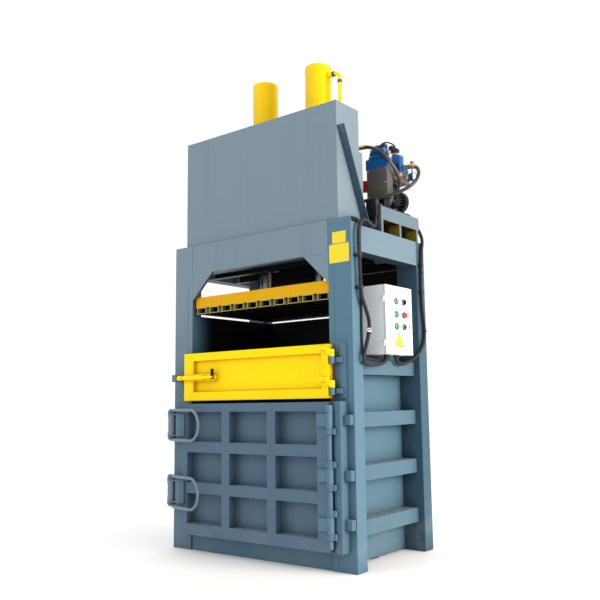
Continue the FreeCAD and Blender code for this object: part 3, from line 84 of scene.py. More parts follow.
# %% A socket that does arithmetic
class Value:
    def __init__(self, shade, socket):
        self.shade = shade
        self.socket = socket

    def math(self, operation, *values):
        return self.shade.node("Math", {"operation": operation}, *values)

    def __add__(self, other):
        return self.math("ADD", self, other)

    def __sub__(self, other):
        return self.math("SUBTRACT", self, other)

    def __rsub__(self, other):
        return self.math("SUBTRACT", other, self)

    def __mul__(self, other):
        return self.math("MULTIPLY", self, other)

    def __neg__(self):
        return 0.0 - self

    def __abs__(self):
        return self.math("ABSOLUTE", self)

    def between(self, low, high):
        """0 below low, 1 above high, and a smooth step from one to the other."""
        return self.shade.node("MapRange", {"interpolation_type": "SMOOTHSTEP"}, self, low, high)

    def past(self, edge, soft):
        """0 before an edge and 1 past it. The step reaches soft to each side."""
        return self.between(edge - soft, edge + soft)


class Shade:
    """One material and its node tree."""

    def __init__(self, name):
        self.material = bpy.data.materials.new(name)
        self.material.use_nodes = True
        self.tree = self.material.node_tree
        self.surface = next(n for n in self.tree.nodes if n.type == "BSDF_PRINCIPLED")
        self.place = self.node("TexCoord", {}, output="Object")

    def node(self, kind, settings, *values, output=0, **named):
        """Adds one node: its settings first, then the values or links of its sockets."""
        made = self.tree.nodes.new("ShaderNode" + kind)
        for key, value in settings.items():
            setattr(made, key, value)
        sockets = [*zip(made.inputs, values), *((made.inputs[key], value) for key, value in named.items())]
        for socket, value in sockets:
            self.feed(socket, value)
        return Value(self, made.outputs[output])

    def feed(self, socket, value):
        if isinstance(value, Value):
            self.tree.links.new(value.socket, socket)
        elif value is not None:
            socket.default_value = value

    def set(self, **sockets):
        """Feeds sockets of the surface by name, with _ for a space."""
        for name, value in sockets.items():
            self.feed(self.surface.inputs[name.replace("_", " ")], value)
        return self.material

    def noise(self, scale, detail=3.0, roughness=0.55, stretch=(1, 1, 1)):
        spot = self.node("VectorMath", {"operation": "MULTIPLY"}, self.place, stretch)
        return self.node("TexNoise", {}, Vector=spot, Scale=scale, Detail=detail, Roughness=roughness)

    def along(self, axis):
        """The place along one axis of the object, in metres."""
        return self.node("SeparateXYZ", {}, self.place, output=axis)

    def facing(self, axis):
        """How far the surface faces along one axis, from -1 to 1."""
        normal = self.node("NewGeometry", {}, output=1)
        return self.node("SeparateXYZ", {}, normal, output=axis)

    def crease(self, reach):
        """1 in a tight corner and 0 in the open."""
        return 1.0 - self.occluded(reach, {"samples": 4})

    def ridge(self, reach):
        """1 along a sharp outer edge and 0 on a flat."""
        return 1.0 - self.occluded(reach, {"samples": 4, "inside": True})

    def occluded(self, reach, settings):
        return self.node("AmbientOcclusion", settings, Distance=reach, output=1)

    def mix(self, share, first, second):
        """Two colours. A Mix node keeps the sockets of every type, so they are taken by number."""
        made = self.tree.nodes.new("ShaderNodeMix")
        made.data_type = "RGBA"
        for index, value in zip((0, 6, 7), (share, first, second)):
            self.feed(made.inputs[index], value)
        return Value(self, made.outputs[2])

    def bump(self, height, strength, distance, under=None):
        return self.node("Bump", {}, Strength=strength, Distance=distance, Height=height, Normal=under)


print("shader helpers ready")

# %% [markdown]
# ## Yard paint
# The frame is sprayed in one coat on rolled plate. Real enamel is never one colour: it fades in
# patches, gathers dust near the floor, shows faint runs below ledges and gets small chips down to
# the primer. Shade is painted in as well: corners, undersides and hollows are darkened, and some
# sharp edges get a painted highlight. Each effect is one mask, and all masks read the object's own
# coordinates, so they move with the doors.

# %% Painted steel
def rgb(red, green, blue):
    return (red, green, blue, 1.0)


primer, ochre_chip = rgb(0.16, 0.11, 0.085), rgb(0.2, 0.17, 0.13)
oily_chip, grey_chip = rgb(0.05, 0.04, 0.03), rgb(0.4, 0.4, 0.4)
foot_dust, ledge_dust = rgb(0.33, 0.34, 0.33), rgb(0.36, 0.4, 0.42)
corner_reach, edge_reach = 0.14, 0.0045
# The first and last colours here are painted shade: the angle brace's dark slate and the amber in the yellow
# paints' corners.
brace_shade_colour, hood_grey, amber_shade = rgb(0.04, 0.078, 0.118), rgb(0.155, 0.215, 0.262), rgb(0.5, 0.22, 0.0)


def enamel(name, colour, chip=primer, roughness=0.44, fade=0.1, chips=0.72, dust=0.35, peel=0.12, coat=0.0,
           gloss=0.16, ledges=0.0, corner_shade=0.75, under=0.0, dirt_and_shade=None, corner_shade_colour=None, edges=0.0, foot=None):
    """Sprayed paint. The overlay function gives a mask and the colour painted there: spilt oil in the
    platform's bays, painted shade in the chamber, the hood, the platen and on the brace.
    """
    shade = Shade(name)
    base = Vector(colour[:3])
    patches = shade.noise(1.3, 4.0)
    speckle = shade.noise(60.0, 2.0)
    tone = patches * fade + speckle * (fade * 0.35) + (1.0 - fade * 0.68)
    painted = shade.node("VectorMath", {"operation": "SCALE"}, colour[:3], Scale=tone)
    if foot:
        painted = shade.mix(shade.along(2).between(0.9, 2.1), foot, painted)
    runs = shade.noise(9.0, 3.0, stretch=(1, 1, 0.06)).between(0.52, 0.78)
    stained = shade.mix(runs * 0.14, painted, rgb(*base * 0.5))
    low = 1.0 - shade.along(2).between(0.02, 0.55)
    dusty = low * shade.noise(5.0, 5.0).between(0.38, 0.72) * dust
    dusted_and_shaded = shade.mix(dusty, stained, foot_dust)
    # Painted shade: faces that look down are darkened towards a dark copy of the paint.
    if under:
        dusted_and_shaded = shade.mix((-shade.facing(2)).between(0.3, 0.8) * under, dusted_and_shaded, rgb(*base * 0.12))
    # Painted shade: corners and creases are darkened towards a dark copy of the paint, or towards the colour
    # given for it.
    if corner_shade:
        painted_corner_shade = shade.crease(corner_reach).between(0.16, 0.78) * corner_shade
        dusted_and_shaded = shade.mix(painted_corner_shade, dusted_and_shaded, corner_shade_colour or rgb(*base * 0.24))
    if ledges:
        settled = shade.facing(2).between(0.6, 0.9) * shade.noise(22.0, 6.0).between(0.1, 0.95) * ledges
        dusted_and_shaded = shade.mix(settled, dusted_and_shaded, ledge_dust)
    # Painted highlight: sharp outer edges are lightened in spots towards a brighter copy of the paint.
    if edges:
        highlight_spots = shade.noise(20.0, 3.0).between(0.3, 0.6)
        wear_and_highlight = shade.ridge(edge_reach).between(0.25, 0.75) * highlight_spots * edges
        dusted_and_shaded = shade.mix(wear_and_highlight, dusted_and_shaded, rgb(*base * 1.9))
    grain = shade.noise(34.0, 6.0, 0.65)
    chipped = grain.between(chips, chips + 0.02) * shade.noise(2.6, 2.0).between(0.46, 0.62)
    final = shade.mix(chipped, dusted_and_shaded, chip)
    # Spilt oil in the platform's bays, and painted shade in the chamber, the hood, the platen and on the
    # brace.
    if dirt_and_shade:
        mask, overlay_colour = dirt_and_shade(shade)
        final = shade.mix(mask, final, overlay_colour)
    waves = shade.bump(shade.noise(2.2, 2.0), 0.1, 0.02)
    skin = shade.bump(shade.noise(420.0, 2.0), peel, 0.0006, under=waves)
    flake = shade.bump(1.0 - chipped, 0.35, 0.0005, under=skin)
    worn = patches * 0.1 + chipped * 0.25 + dusty * 0.3 + (roughness - 0.05)
    return shade.set(Base_Color=final, Roughness=worn, Normal=flake, Coat_Weight=coat, Coat_Roughness=0.25,
                     Specular_IOR_Level=gloss)

# %% Where each paint is stained, and where shade is painted into it
def chamber_shade(shade):
    """Painted shade: the press chamber and the roof over it are painted near black, fading in from the mouth,
    with faint lighter streaks where bales rub.
    """
    wall_face, rear_face, header_top = 0.7048, 0.4486, 2.3975
    inside = (-abs(shade.along(0))).past(-wall_face, 0.0014)
    depth = shade.along(1).between(-0.47, -0.26) * (1.0 - shade.along(1).past(rear_face, 0.0004))
    roofed = 1.0 - shade.along(2).past(header_top, 0.0015)
    wear_and_highlight = shade.noise(14.0, 5.0, stretch=(1, 1, 0.05)).between(0.62, 0.8)
    deck = shade.facing(2).between(0.5, 0.8) * shade.along(2).past(2.34, 0.01)
    return inside * depth * roofed * (1.0 - wear_and_highlight * 0.1) * (1.0 - deck), rgb(0.0035, 0.004, 0.005)


def hood_shade(shade):
    """Painted shade inside the sheet hood: its inner faces are painted darker."""
    cheek_face, front_face = 0.772, -0.484
    inside = (-abs(shade.along(0))).past(-cheek_face, 0.0002)
    return inside * shade.along(1).past(front_face, 0.0002), rgb(0.05, 0.072, 0.09)


def ram_shade(shade):
    """Painted shade: the platen is painted black below and behind its front plate."""
    plate_back = -0.427
    under_side = (-shade.facing(2)).between(0.4, 0.7)
    behind = shade.along(1).past(plate_back, 0.002)
    return under_side + behind * (1.0 - under_side), rgb(0.006, 0.006, 0.007)


def brace_shade(shade):
    """Painted shade: the angle brace is painted a dark slate, and the flat stays keep the hood's colour."""
    hood_side = 0.7716
    return shade.along(0).past(hood_side, 0.0016), brace_shade_colour


def bay_dirt(shade):
    """The bays below the power pack are brown with spilt oil."""
    left, right, front, rear, roof = 0.421, 0.8877, -0.09825, 0.4435, 2.54925
    outward = 1.0 - shade.along(0).past(right, 0.0002)
    below = 1.0 - shade.along(2).past(roof, 0.00125)
    depth = shade.along(1).past(front, 0.00075) * (1.0 - shade.along(1).past(rear, 0.001))
    patches = shade.noise(9.0, 4.0).between(0.3, 0.8)
    brown = shade.mix(patches, rgb(0.2, 0.15, 0.016), rgb(0.045, 0.045, 0.026))
    return outward * below * depth * shade.along(0).past(left, 0.0005), brown

# %% The paints
pale = dict(fade=0.02, roughness=0.5, chips=0.9, dust=0.0, peel=0.3, corner_shade=0.0, chip=grey_chip)
finishes = {
    # One blue-grey enamel in two copies, as painted shade and light: the frame's darker copy, and a lighter
    # copy on the header and the left post that turns darker and bluer towards the foot.
    "frame_paint": enamel("blue_grey_enamel", rgb(0.078, 0.16, 0.228), dust=0.14, ledges=0.75, under=0.7,
                          corner_shade=0.6, dirt_and_shade=chamber_shade),
    "header_paint": enamel("header_enamel", rgb(0.155, 0.215, 0.265), dust=0.1, under=0.8, dirt_and_shade=chamber_shade,
                           foot=rgb(0.085, 0.145, 0.195)),
    "rib_paint": enamel("worn_enamel", rgb(0.07, 0.14, 0.202), dust=0.14, ledges=0.75, under=0.8, corner_shade=0.55,
                        dirt_and_shade=chamber_shade, edges=0.5),
    # A darker copy of the frame paint, as painted shade on the rear posts.
    "post_paint": enamel("post_enamel", rgb(0.04, 0.09, 0.138), under=0.7, dirt_and_shade=chamber_shade),
    "beam_paint": enamel("beam_enamel", rgb(0.118, 0.186, 0.24), ledges=0.5, under=0.8),
    "door_paint": enamel("door_enamel", rgb(0.074, 0.128, 0.19), dust=0.1, corner_shade=0.65, ledges=0.7, under=0.6,
                         edges=0.6),
    # A lighter copy of the door paint, as a painted highlight on the latches, with more gloss.
    "latch_paint": enamel("latch_enamel", rgb(0.12, 0.175, 0.225), dust=0.0, gloss=0.45, roughness=0.36,
                          ledges=0.5, edges=0.5),
    "platform_paint": enamel("platform_enamel", rgb(0.106, 0.156, 0.202), ledges=0.7, dirt_and_shade=bay_dirt),
    "brace_paint": enamel("brace_enamel", hood_grey, dirt_and_shade=brace_shade),
    "hood_paint": enamel("hood_enamel", hood_grey, chips=0.76, dust=0.0, corner_shade=0.5, dirt_and_shade=hood_shade),
    "weld": enamel("painted_weld", rgb(0.06, 0.12, 0.17), roughness=0.36, chips=0.7, gloss=0.3),
    "yellow_paint": enamel("yellow_enamel", rgb(0.9, 0.68, 0.001), ochre_chip, roughness=0.36, fade=0.07,
                           chips=0.74, gloss=0.1, corner_shade=0.6, corner_shade_colour=amber_shade),
    "cylinder_paint": enamel("cylinder_enamel", rgb(0.8, 0.53, 0.001), ochre_chip, roughness=0.3, fade=0.05,
                             chips=0.76, corner_shade=0.9, corner_shade_colour=amber_shade),
    # The feed door's deep orange is the colour of its painted corner shade.
    "feed_paint": enamel("feed_enamel", rgb(0.91, 0.64, 0.001), ochre_chip, roughness=0.36, gloss=0.1,
                         corner_shade=0.9, corner_shade_colour=rgb(0.52, 0.2, 0.0)),
    # The platen and its tubes take darker, duller copies of the yellow paint, as painted shade.
    "platen_paint": enamel("ram_enamel", rgb(0.62, 0.335, 0.001), oily_chip, roughness=0.5, chips=0.66,
                           gloss=0.1, dirt_and_shade=ram_shade),
    "tube_paint": enamel("tube_enamel", rgb(0.46, 0.4, 0.14), oily_chip, gloss=0.1, dirt_and_shade=ram_shade),
    # One white powder coat in two copies: a brighter one on the box, as painted light on its sides, and a
    # darker one on the panel door, as painted shade on its face.
    "box_paint": enamel("powder_coat", rgb(0.95, 0.96, 0.98), gloss=0.3, **pale),
    "panel_paint": enamel("panel_coat", rgb(0.7, 0.71, 0.72), gloss=0.2, **pale),
    "motor_paint": enamel("black_enamel", rgb(0.007, 0.008, 0.01), rgb(0.12, 0.12, 0.12), roughness=0.4,
                          chips=0.78, dust=0.0, gloss=0.12),
    "valve_paint": enamel("blue_enamel", rgb(0.002, 0.1, 0.34), rgb(0.35, 0.35, 0.35), roughness=0.26,
                          fade=0.15, chips=0.78, dust=0.0, coat=0.3, gloss=0.3),
}
print("enamels", sorted(finishes))

# %% [markdown]
# ## Bare metal, rubber and plastic
# The rods are near black, as painted shade, with patches of oil stain and fine rings round them.
# Turned steel is duller, castings are grainy, and brass has darkened in patches. Hoses have a dull
# sheen, and the grooves of the conduits are painted darker than the ribs, as painted shade.

# %% Metals
def metal(name, colour, roughness, streak=(1, 1, 1), grain=160.0, stain=0.25, cut=0.15):
    shade = Shade(name)
    lines = shade.noise(grain, 3.0, stretch=streak)
    stains = shade.noise(7.0, 5.0).between(0.42, 0.75)
    dark = rgb(*[0.45 * c for c in colour[:3]])
    return shade.set(Base_Color=shade.mix(stains * stain, colour, dark), Metallic=1.0,
                     Roughness=lines * 0.18 + stains * 0.18 + (roughness - 0.09),
                     Normal=shade.bump(lines, cut, 0.0004))


def milled_block(name, upper, lower, split):
    """A drilled steel block, olive-green and darker below a wavy level line."""
    shade = Shade(name)
    cut = shade.noise(60.0, 3.0, stretch=(1, 1, 14))
    stains = shade.noise(9.0, 5.0).between(0.4, 0.72)
    level = (shade.along(2) + shade.noise(14.0, 3.0) * 0.006).between(split, split + 0.006)
    tone = shade.mix(level, lower, upper)
    return shade.set(Base_Color=shade.mix(stains * 0.5, tone, rgb(0.03, 0.03, 0.028)), Metallic=0.35,
                     Roughness=cut * 0.15 + stains * 0.15 + 0.38, Normal=shade.bump(cut, 0.25, 0.0004),
                     Specular_IOR_Level=0.3)


def casting(name, colour, roughness=0.6):
    shade = Shade(name)
    sand = shade.noise(260.0, 4.0, 0.7)
    oil = shade.noise(6.0, 4.0).between(0.45, 0.7)
    return shade.set(Base_Color=shade.mix(oil * 0.6, colour, rgb(*[0.4 * c for c in colour[:3]])),
                     Metallic=0.6, Roughness=sand * 0.2 - oil * 0.25 + roughness,
                     Normal=shade.bump(sand, 0.5, 0.0008))

# %% Rubber and plastic
def moulded(name, colour, roughness, grain=500.0, depth=0.2, dust=0.25, gloss=0.22):
    shade = Shade(name)
    fine = shade.noise(grain, 2.0)
    film = shade.noise(11.0, 5.0).between(0.4, 0.75) * dust
    return shade.set(Base_Color=shade.mix(film, colour, rgb(0.26, 0.25, 0.24)),
                     Roughness=fine * 0.12 + film * 0.5 + (roughness - 0.06), Specular_IOR_Level=gloss,
                     Normal=shade.bump(fine, depth, 0.0004))


# Painted shade: the grooves between the ribs are darkened towards the groove colour.
def ribbed_tube(name, groove_shade, crest):
    shade = Shade(name)
    return shade.set(Base_Color=shade.mix(shade.crease(0.005).between(0.12, 0.42), crest, groove_shade),
                     Roughness=shade.noise(260.0, 2.0) * 0.1 + 0.42, Specular_IOR_Level=0.25)


def clear_dial(name):
    shade = Shade(name)
    return shade.set(Base_Color=rgb(0.86, 0.87, 0.86), Roughness=shade.noise(30.0) * 0.05 + 0.06,
                     Coat_Weight=1.0, Coat_Roughness=0.03)


finishes.update({
    # Bright steel, mostly the rods, is near black as painted shade, with patches of oil stain.
    "bright_steel": metal("shaded_chrome", rgb(0.16, 0.16, 0.17), 0.16, (1, 1, 9), 90.0, 0.12, 0.05),
    "bare_steel": metal("turned_steel", rgb(0.46, 0.45, 0.44), 0.4, (1, 1, 6), 120.0, 0.45, 0.2),
    "manifold_metal": milled_block("milled_block", rgb(0.125, 0.12, 0.115), rgb(0.105, 0.13, 0.09), 2.722),
    "brass": metal("brass_fitting", rgb(0.72, 0.5, 0.2), 0.28, (1, 1, 1), 120.0, 0.4, 0.1),
    "zinc": metal("zinc_bolt", rgb(0.36, 0.35, 0.32), 0.38, (1, 1, 1), 200.0, 0.35, 0.1),
    "satin_ring": metal("satin_ring", rgb(0.2, 0.21, 0.22), 0.35, (1, 1, 1), 300.0, 0.1, 0.05),
    "cast_metal": casting("dark_casting", rgb(0.1, 0.105, 0.11)),
    "hose_rubber": moulded("hose_rubber", rgb(0.01, 0.01, 0.014), 0.3, 300.0, 0.25, 0.2, 0.5),
    "black_plastic": moulded("black_plastic", rgb(0.008, 0.008, 0.01), 0.38, dust=0.12),
    "red_plastic": moulded("red_plastic", rgb(0.62, 0.012, 0.01), 0.26, 200.0, 0.05, 0.05),
    "green_plastic": moulded("green_plastic", rgb(0.01, 0.36, 0.2), 0.26, 200.0, 0.05, 0.05),
    "label": moulded("yellow_plate", rgb(0.74, 0.6, 0.02), 0.42, 90.0, 0.06, 0.1),
    "wire_black": moulded("ribbed_polymer", rgb(0.004, 0.004, 0.006), 0.4, 260.0, 0.2, 0.05, 0.14),
    "white_nylon": moulded("white_nylon", rgb(0.78, 0.78, 0.76), 0.4, 200.0, 0.05, 0.1),
    "conduit": ribbed_tube("ribbed_conduit", rgb(0.003, 0.003, 0.005), rgb(0.02, 0.02, 0.026)),
    "dial": clear_dial("gauge_dial"),
})
print("finishes", len(finishes))

# %% [markdown]
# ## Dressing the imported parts
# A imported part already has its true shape, so it stays. Machine edges on a real baler are ground
# off by a millimetre or two, and that thin highlight is what makes plate look like plate. The
# modifiers give it: the flat triangles are merged, the sharp edges are bevelled, and the normals
# are weighted by area so that big faces stay flat.

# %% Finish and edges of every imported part
def smooth(obj):
    for face in obj.data.polygons:
        face.use_smooth = True


def ease_edges(obj, width, segments=2, turn=32.0):
    """Rounds the sharp edges by a real width, in metres."""
    bevel = obj.modifiers.new("edges", "BEVEL")
    bevel.width = width
    bevel.segments = segments
    bevel.limit_method = "ANGLE"
    bevel.angle_limit = math.radians(turn)
    bevel.use_clamp_overlap = True
    obj.modifiers.new("normals", "WEIGHTED_NORMAL").keep_sharp = True


def merge_flats(obj):
    weld = obj.modifiers.new("weld", "WELD")
    weld.merge_threshold = 0.00002
    flats = obj.modifiers.new("flats", "DECIMATE")
    flats.decimate_type = "DISSOLVE"
    flats.angle_limit = math.radians(1.0)


edge_widths = {"frame_paint": 1.6, "hood_paint": 0.8, "yellow_paint": 1.4, "platen_paint": 1.0,
               "box_paint": 1.0, "manifold_metal": 1.2, "valve_paint": 2.0, "motor_paint": 0.7,
               "cast_metal": 1.2}
own_coat = by_member({
    "header_paint": ["front_header", "front_post_left"], "door_paint": ["main_door_grid", "main_door_plate"],
    "rib_paint": ["wall_ribs", "main_hinge_bar"], "latch_paint": ["latch_upper", "latch_lower"],
    "cylinder_paint": ["cylinder_barrel_left", "cylinder_barrel_right"], "post_paint": ["rear_posts"],
    "brace_paint": ["hood_braces"], "feed_paint": ["feed_door_panel"], "platform_paint": ["pack_platform"],
    "beam_paint": ["side_beams"], "tube_paint": ["platen_tubes"], "panel_paint": ["panel_door"]})
for name, obj in nodes.items():
    obj.data.materials.clear()
    obj.data.materials.append(finishes[own_coat.get(name, slot_of[name])])
    if "custom_normal" in obj.data.attributes:
        obj.data.attributes.remove(obj.data.attributes["custom_normal"])
    smooth(obj)
    merge_flats(obj)
    ease_edges(obj, edge_widths.get(slot_of[name], 0.6) * mm)
print("dressed", len(nodes), "packed parts")

# %% [markdown]
# ## Skins, turned pieces and beads
# A bolt, a ferrule and a button are all turned shapes: a short profile swept round an axis. A
# conduit and a weld are rows of rings along a path. Two functions make them all in one mesh, and
# a third hands the mesh its finish and the body that it rides on.

# %% Turned shapes and tubes
def square_to(direction):
    side = direction.orthogonal().normalized()
    return side, direction.cross(side)


def skin(mesh, rings):
    """Joins each ring to the next. A ring of one point closes the end."""
    for lower, upper in zip(rings, rings[1:]):
        steps = max(len(lower), len(upper))
        for i in range(steps):
            j = (i + 1) % steps
            corner = [(lower, i), (lower, j), (upper, j), (upper, i)]
            face = list(dict.fromkeys(ring[k % len(ring)] for ring, k in corner))
            if len(face) > 2:
                mesh.faces.new(face)


def turn(mesh, profile, place, direction, steps=24, ripple=0.0):
    """Sweeps points of (radius, height) round an axis. ripple knurls every second step."""
    place, direction = Vector(place), Vector(direction).normalized()
    side, up = square_to(direction)
    rings = []
    for radius, height in profile:
        centre = place + direction * height
        angles = [2 * math.pi * i / steps for i in range(steps)] if radius else [0]
        rings.append([mesh.verts.new(centre + (side * math.cos(a) + up * math.sin(a)) * radius
                                     * (1 - ripple * (i % 2))) for i, a in enumerate(angles)])
    skin(mesh, rings)


def tube(mesh, points, radii, steps=10):
    """Rings of the given radii along a row of points, with closed ends."""
    side = None
    rings = []
    for i, (point, radius) in enumerate(zip(points, radii)):
        ahead = (points[min(i + 1, len(points) - 1)] - points[max(i - 1, 0)]).normalized()
        side = (side - ahead * side.dot(ahead)).normalized() if side else square_to(ahead)[0]
        up = ahead.cross(side)
        rings.append([mesh.verts.new(point + (side * math.cos(a) + up * math.sin(a)) * radius)
                      for a in (2 * math.pi * k / steps for k in range(steps))])
    skin(mesh, rings)
    mesh.faces.new(reversed(rings[0]))
    mesh.faces.new(rings[-1])


def slab(mesh, low, high, origin=(0, 0, 0)):
    """A block between two corners, which count from the origin given."""
    low, high = Vector(origin) + Vector(low), Vector(origin) + Vector(high)
    size = high - low
    bmesh.ops.create_cube(mesh, size=1.0, matrix=Matrix.Translation((low + high) / 2)
                          @ Matrix.Diagonal((size.x, size.y, size.z, 1.0)))

# %% Profiles that come back, and the finished piece
def nut(radius, height, bevel=0.002, rim=0.002):
    """A nut or cap with both rims broken."""
    shoulder = radius - bevel
    return [(0, 0), (shoulder, 0), (radius, rim), (radius, height - rim), (shoulder, height), (0, height)]


def plug(radius, low, high):
    return [(0, low), (radius, low), (radius, high), (0, high)]


def sleeve(inner, outer, low, high):
    return [(inner, low), (outer, low), (outer, high), (inner, high), (inner, low)]


def finished(name, mesh, finish, body="frame", edges=0.0, sharp=40.0):
    """Turns the drawn mesh into a piece with its finish, on its body."""
    data = bpy.data.meshes.new(name)
    mesh.to_mesh(data)
    mesh.free()
    piece = bpy.data.objects.new(name, data)
    bpy.context.scene.collection.objects.link(piece)
    data.materials.append(finishes[finish])
    smooth(piece)
    data.set_sharp_from_angle(angle=math.radians(sharp))
    if edges:
        ease_edges(piece, edges)
    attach(piece, body)
    return piece


def drawn(name, finish, shapes, body="frame", edges=0.0):
    """A piece from a list of shapes, each a drawing function and its values."""
    mesh = bmesh.new()
    for draw, *values in shapes:
        draw(mesh, *values)
    return finished(name, mesh, finish, body, edges)


print("mesh helpers ready")

# %% [markdown]
# ## Hydraulic hoses
# Two wire-braided hoses run free: one from the cylinder pipe down to the pump, one from the rear
# valve round the front of the pack to the tank. A stiff hose keeps a fair line, so each is one
# smooth curve through the control points of its route. Its ends sit in a crimped steel ferrule
# behind a hexagonal nut, which follows the hose's first few centimetres.

# %% Curves and the points along them
def route_curve(name, points, diameter):
    """A smooth curve with the route's points, in millimetres, as its control points."""
    curve = bpy.data.curves.new(name, "CURVE")
    curve.dimensions = "3D"
    curve.resolution_u = 10
    curve.bevel_depth = diameter / 2
    curve.bevel_resolution = 5
    curve.use_fill_caps = True
    spline = curve.splines.new("NURBS")
    spline.points.add(len(points) - 1)
    for control, point in zip(spline.points, points):
        control.co = (*(mm * value for value in point), 1.0)
    spline.order_u = 3
    spline.use_endpoint_u = True
    piece = bpy.data.objects.new(name, curve)
    bpy.context.scene.collection.objects.link(piece)
    return piece


def centre_line(piece):
    """Points along a curve, read with its thickness set aside."""
    depth = piece.data.bevel_depth
    piece.data.bevel_depth = 0.0
    bpy.context.view_layer.update()
    line = bpy.data.meshes.new_from_object(piece)
    piece.data.bevel_depth = depth
    points = [vertex.co.copy() for vertex in line.vertices]
    bpy.data.meshes.remove(line)
    return points


def run_length(points):
    return sum((b - a).length for a, b in zip(points, points[1:]))


def spaced(points, pitch):
    """Points at an even pitch along a line."""
    total = run_length(points)
    count = max(2, round(total / pitch))
    marks, travelled, result = [total * i / count for i in range(count + 1)], 0.0, []
    for a, b in zip(points, points[1:]):
        step = (b - a).length
        while marks and marks[0] <= travelled + step + 1e-9:
            result.append(a.lerp(b, (marks.pop(0) - travelled) / step))
        travelled += step
    return result


def guide_line(name, points, diameter, pitch):
    """Evenly spaced points along a route that is drawn only to be measured."""
    guide = route_curve(name, points, diameter)
    line = spaced(centre_line(guide), pitch)
    bpy.data.objects.remove(guide)
    return line

# %% The two hoses
hose_diameter = 0.028
hose_routes = {
    "supply_hose": [(612, -50, 3050), (668, -50, 3050), (738, -52, 3044), (800, -54, 3022), (858, -50, 2982),
                    (902, -22, 2926), (926, 34, 2872), (934, 86, 2812), (926, 120, 2752), (894, 124, 2712),
                    (860, 120, 2700), (828, 120, 2700)],
    "return_hose": [(906, 225, 2914), (960, 225, 2914), (1018, 208, 2896), (1058, 178, 2850),
                    (1074, 138, 2790), (1060, 92, 2728), (1012, 42, 2680), (944, 0, 2650), (862, -26, 2634),
                    (772, -36, 2630), (682, -32, 2632), (592, -4, 2634), (506, 50, 2630), (440, 114, 2620),
                    (384, 160, 2611), (342, 166, 2610), (318, 166, 2610)]}
ferrule_length, crimp_pitch = 0.052, 0.004
collar_reach = (0.054, 0.12)


def hose_end(mesh, line, forward):
    """A crimped ferrule over the hose's end and the hexagonal nut before it."""
    points = line if forward else line[::-1]
    ferrule = [point for point in spaced(points, crimp_pitch)
               if (point - points[0]).length < ferrule_length]
    radii = [0.0195 if 2 < i < len(ferrule) - 2 and i % 3 else 0.0178 for i in range(len(ferrule))]
    tube(mesh, ferrule, radii, 20)
    outward = (points[0] - points[1]).normalized()
    turn(mesh, nut(0.0235, 0.025, 0.0025, 0.003), points[0] - outward * 0.004, outward, 6)


def hose_collar(mesh, line):
    """A brass sleeve that guards the hose where it leaves its first fitting."""
    first, last = collar_reach
    covered = [point for point in spaced(line, crimp_pitch) if first < (point - line[0]).length < last]
    radii = [0.0185 if 1 < i < len(covered) - 2 else 0.0165 for i in range(len(covered))]
    tube(mesh, covered, radii, 20)


for name, points in hose_routes.items():
    hose = route_curve(name + "_skin", points, hose_diameter)
    hose.data.materials.append(finishes["hose_rubber"])
    line = centre_line(hose)
    ends = bmesh.new()
    hose_end(ends, line, True)
    hose_end(ends, line, False)
    ends = finished(name + "_ends", ends, "zinc")
    collar = bmesh.new()
    hose_collar(collar, line)
    collar = finished(name + "_collar", collar, "brass")
    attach(hose, "frame")
    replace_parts(hose, name)
    round(run_length(line), 3)
    print(name, "length", round(run_length(line), 3))

# %% [markdown]
# ## Corrugated conduits
# Cables to the motor and valves run in split corrugated tube: a row of ribs about eight
# millimetres apart. The ribs are too coarse for bump where they stand against the light, so they
# are real. Cable ties sit round the two thick tubes.

# %% Conduits
post_face = corners("front_post_right")[1].x * 1000
conduit_routes = {
    "front_conduit": (0.03, [
        (-38, -124, 2470), (-38, -124, 2432), (-14, -168, 2388), (8, -232, 2366), (30, -310, 2380),
        (35, -382, 2392), (35, -432, 2366), (35, -455, 2306), (35, -460, 2225), (35, -448, 2030),
        (35, -443, 1846), (35, -392, 1762), (35, -345, 1672), (35, -360, 1572), (35, -414, 1462),
        (34, -428, 1412), (27, -406, 1382), (12, -340, 1374), (-6, -240, 1376), (-18, -150, 1382),
        (-20, -92, 1394), (-20, -58, 1420), (-20, -58, 1454)]),
    "inner_conduit": (0.018, [
        (-64, -124, 2470), (-64, -124, 2442), (-48, -166, 2406), (-20, -232, 2378), (4, -306, 2373),
        (12, -366, 2377), (12, -398, 2350), (12, -408, 2284), (10, -404, 2150), (10, -408, 1960),
        (10, -404, 1760), (10, -408, 1590), (10, -405, 1486), (13, -398, 1438), (8, -364, 1418),
        (-10, -300, 1412), (-32, -210, 1410), (-45, -120, 1411), (-46, -50, 1412), (-45, -6, 1418),
        (-45, 10, 1432), (-45, 10, 1454)]),
    "rear_conduit": (0.03, [
        (-44, 445, 2502), (-44, 464, 2502), (-32, 478, 2480), (-12, 480, 2436), (10, 468, 2390),
        (19, 452, 2342), (18, 434, 2280), (18, 414, 2060), (18, 416, 1850), (18, 440, 1716),
        (18, 449, 1640), (18, 430, 1566), (16, 380, 1500), (6, 310, 1442), (-8, 220, 1402),
        (-18, 140, 1388), (-20, 100, 1396), (-20, 78, 1420), (-20, 78, 1454)])}
rib_pitch, rib_depth, crest_share = 0.0084, 0.0028, 0.455
conduit_lines = {}
for name, (diameter, points) in conduit_routes.items():
    line = guide_line(name + "_guide", [(post_face + x, y, z) for x, y, z in points], diameter, rib_pitch / 3)
    crest = diameter * crest_share
    radii = [crest if i % 3 else crest - rib_depth for i in range(len(line))]
    mesh = bmesh.new()
    tube(mesh, line, radii, 16)
    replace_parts(finished(name + "_ribs", mesh, "conduit", sharp=80.0), name)
    conduit_lines[name] = line
    print(name, "length", round(run_length(line), 3))

# %% Ties
band_radius = 0.0138
front_line, rear_line = conduit_lines["front_conduit"], conduit_lines["rear_conduit"]


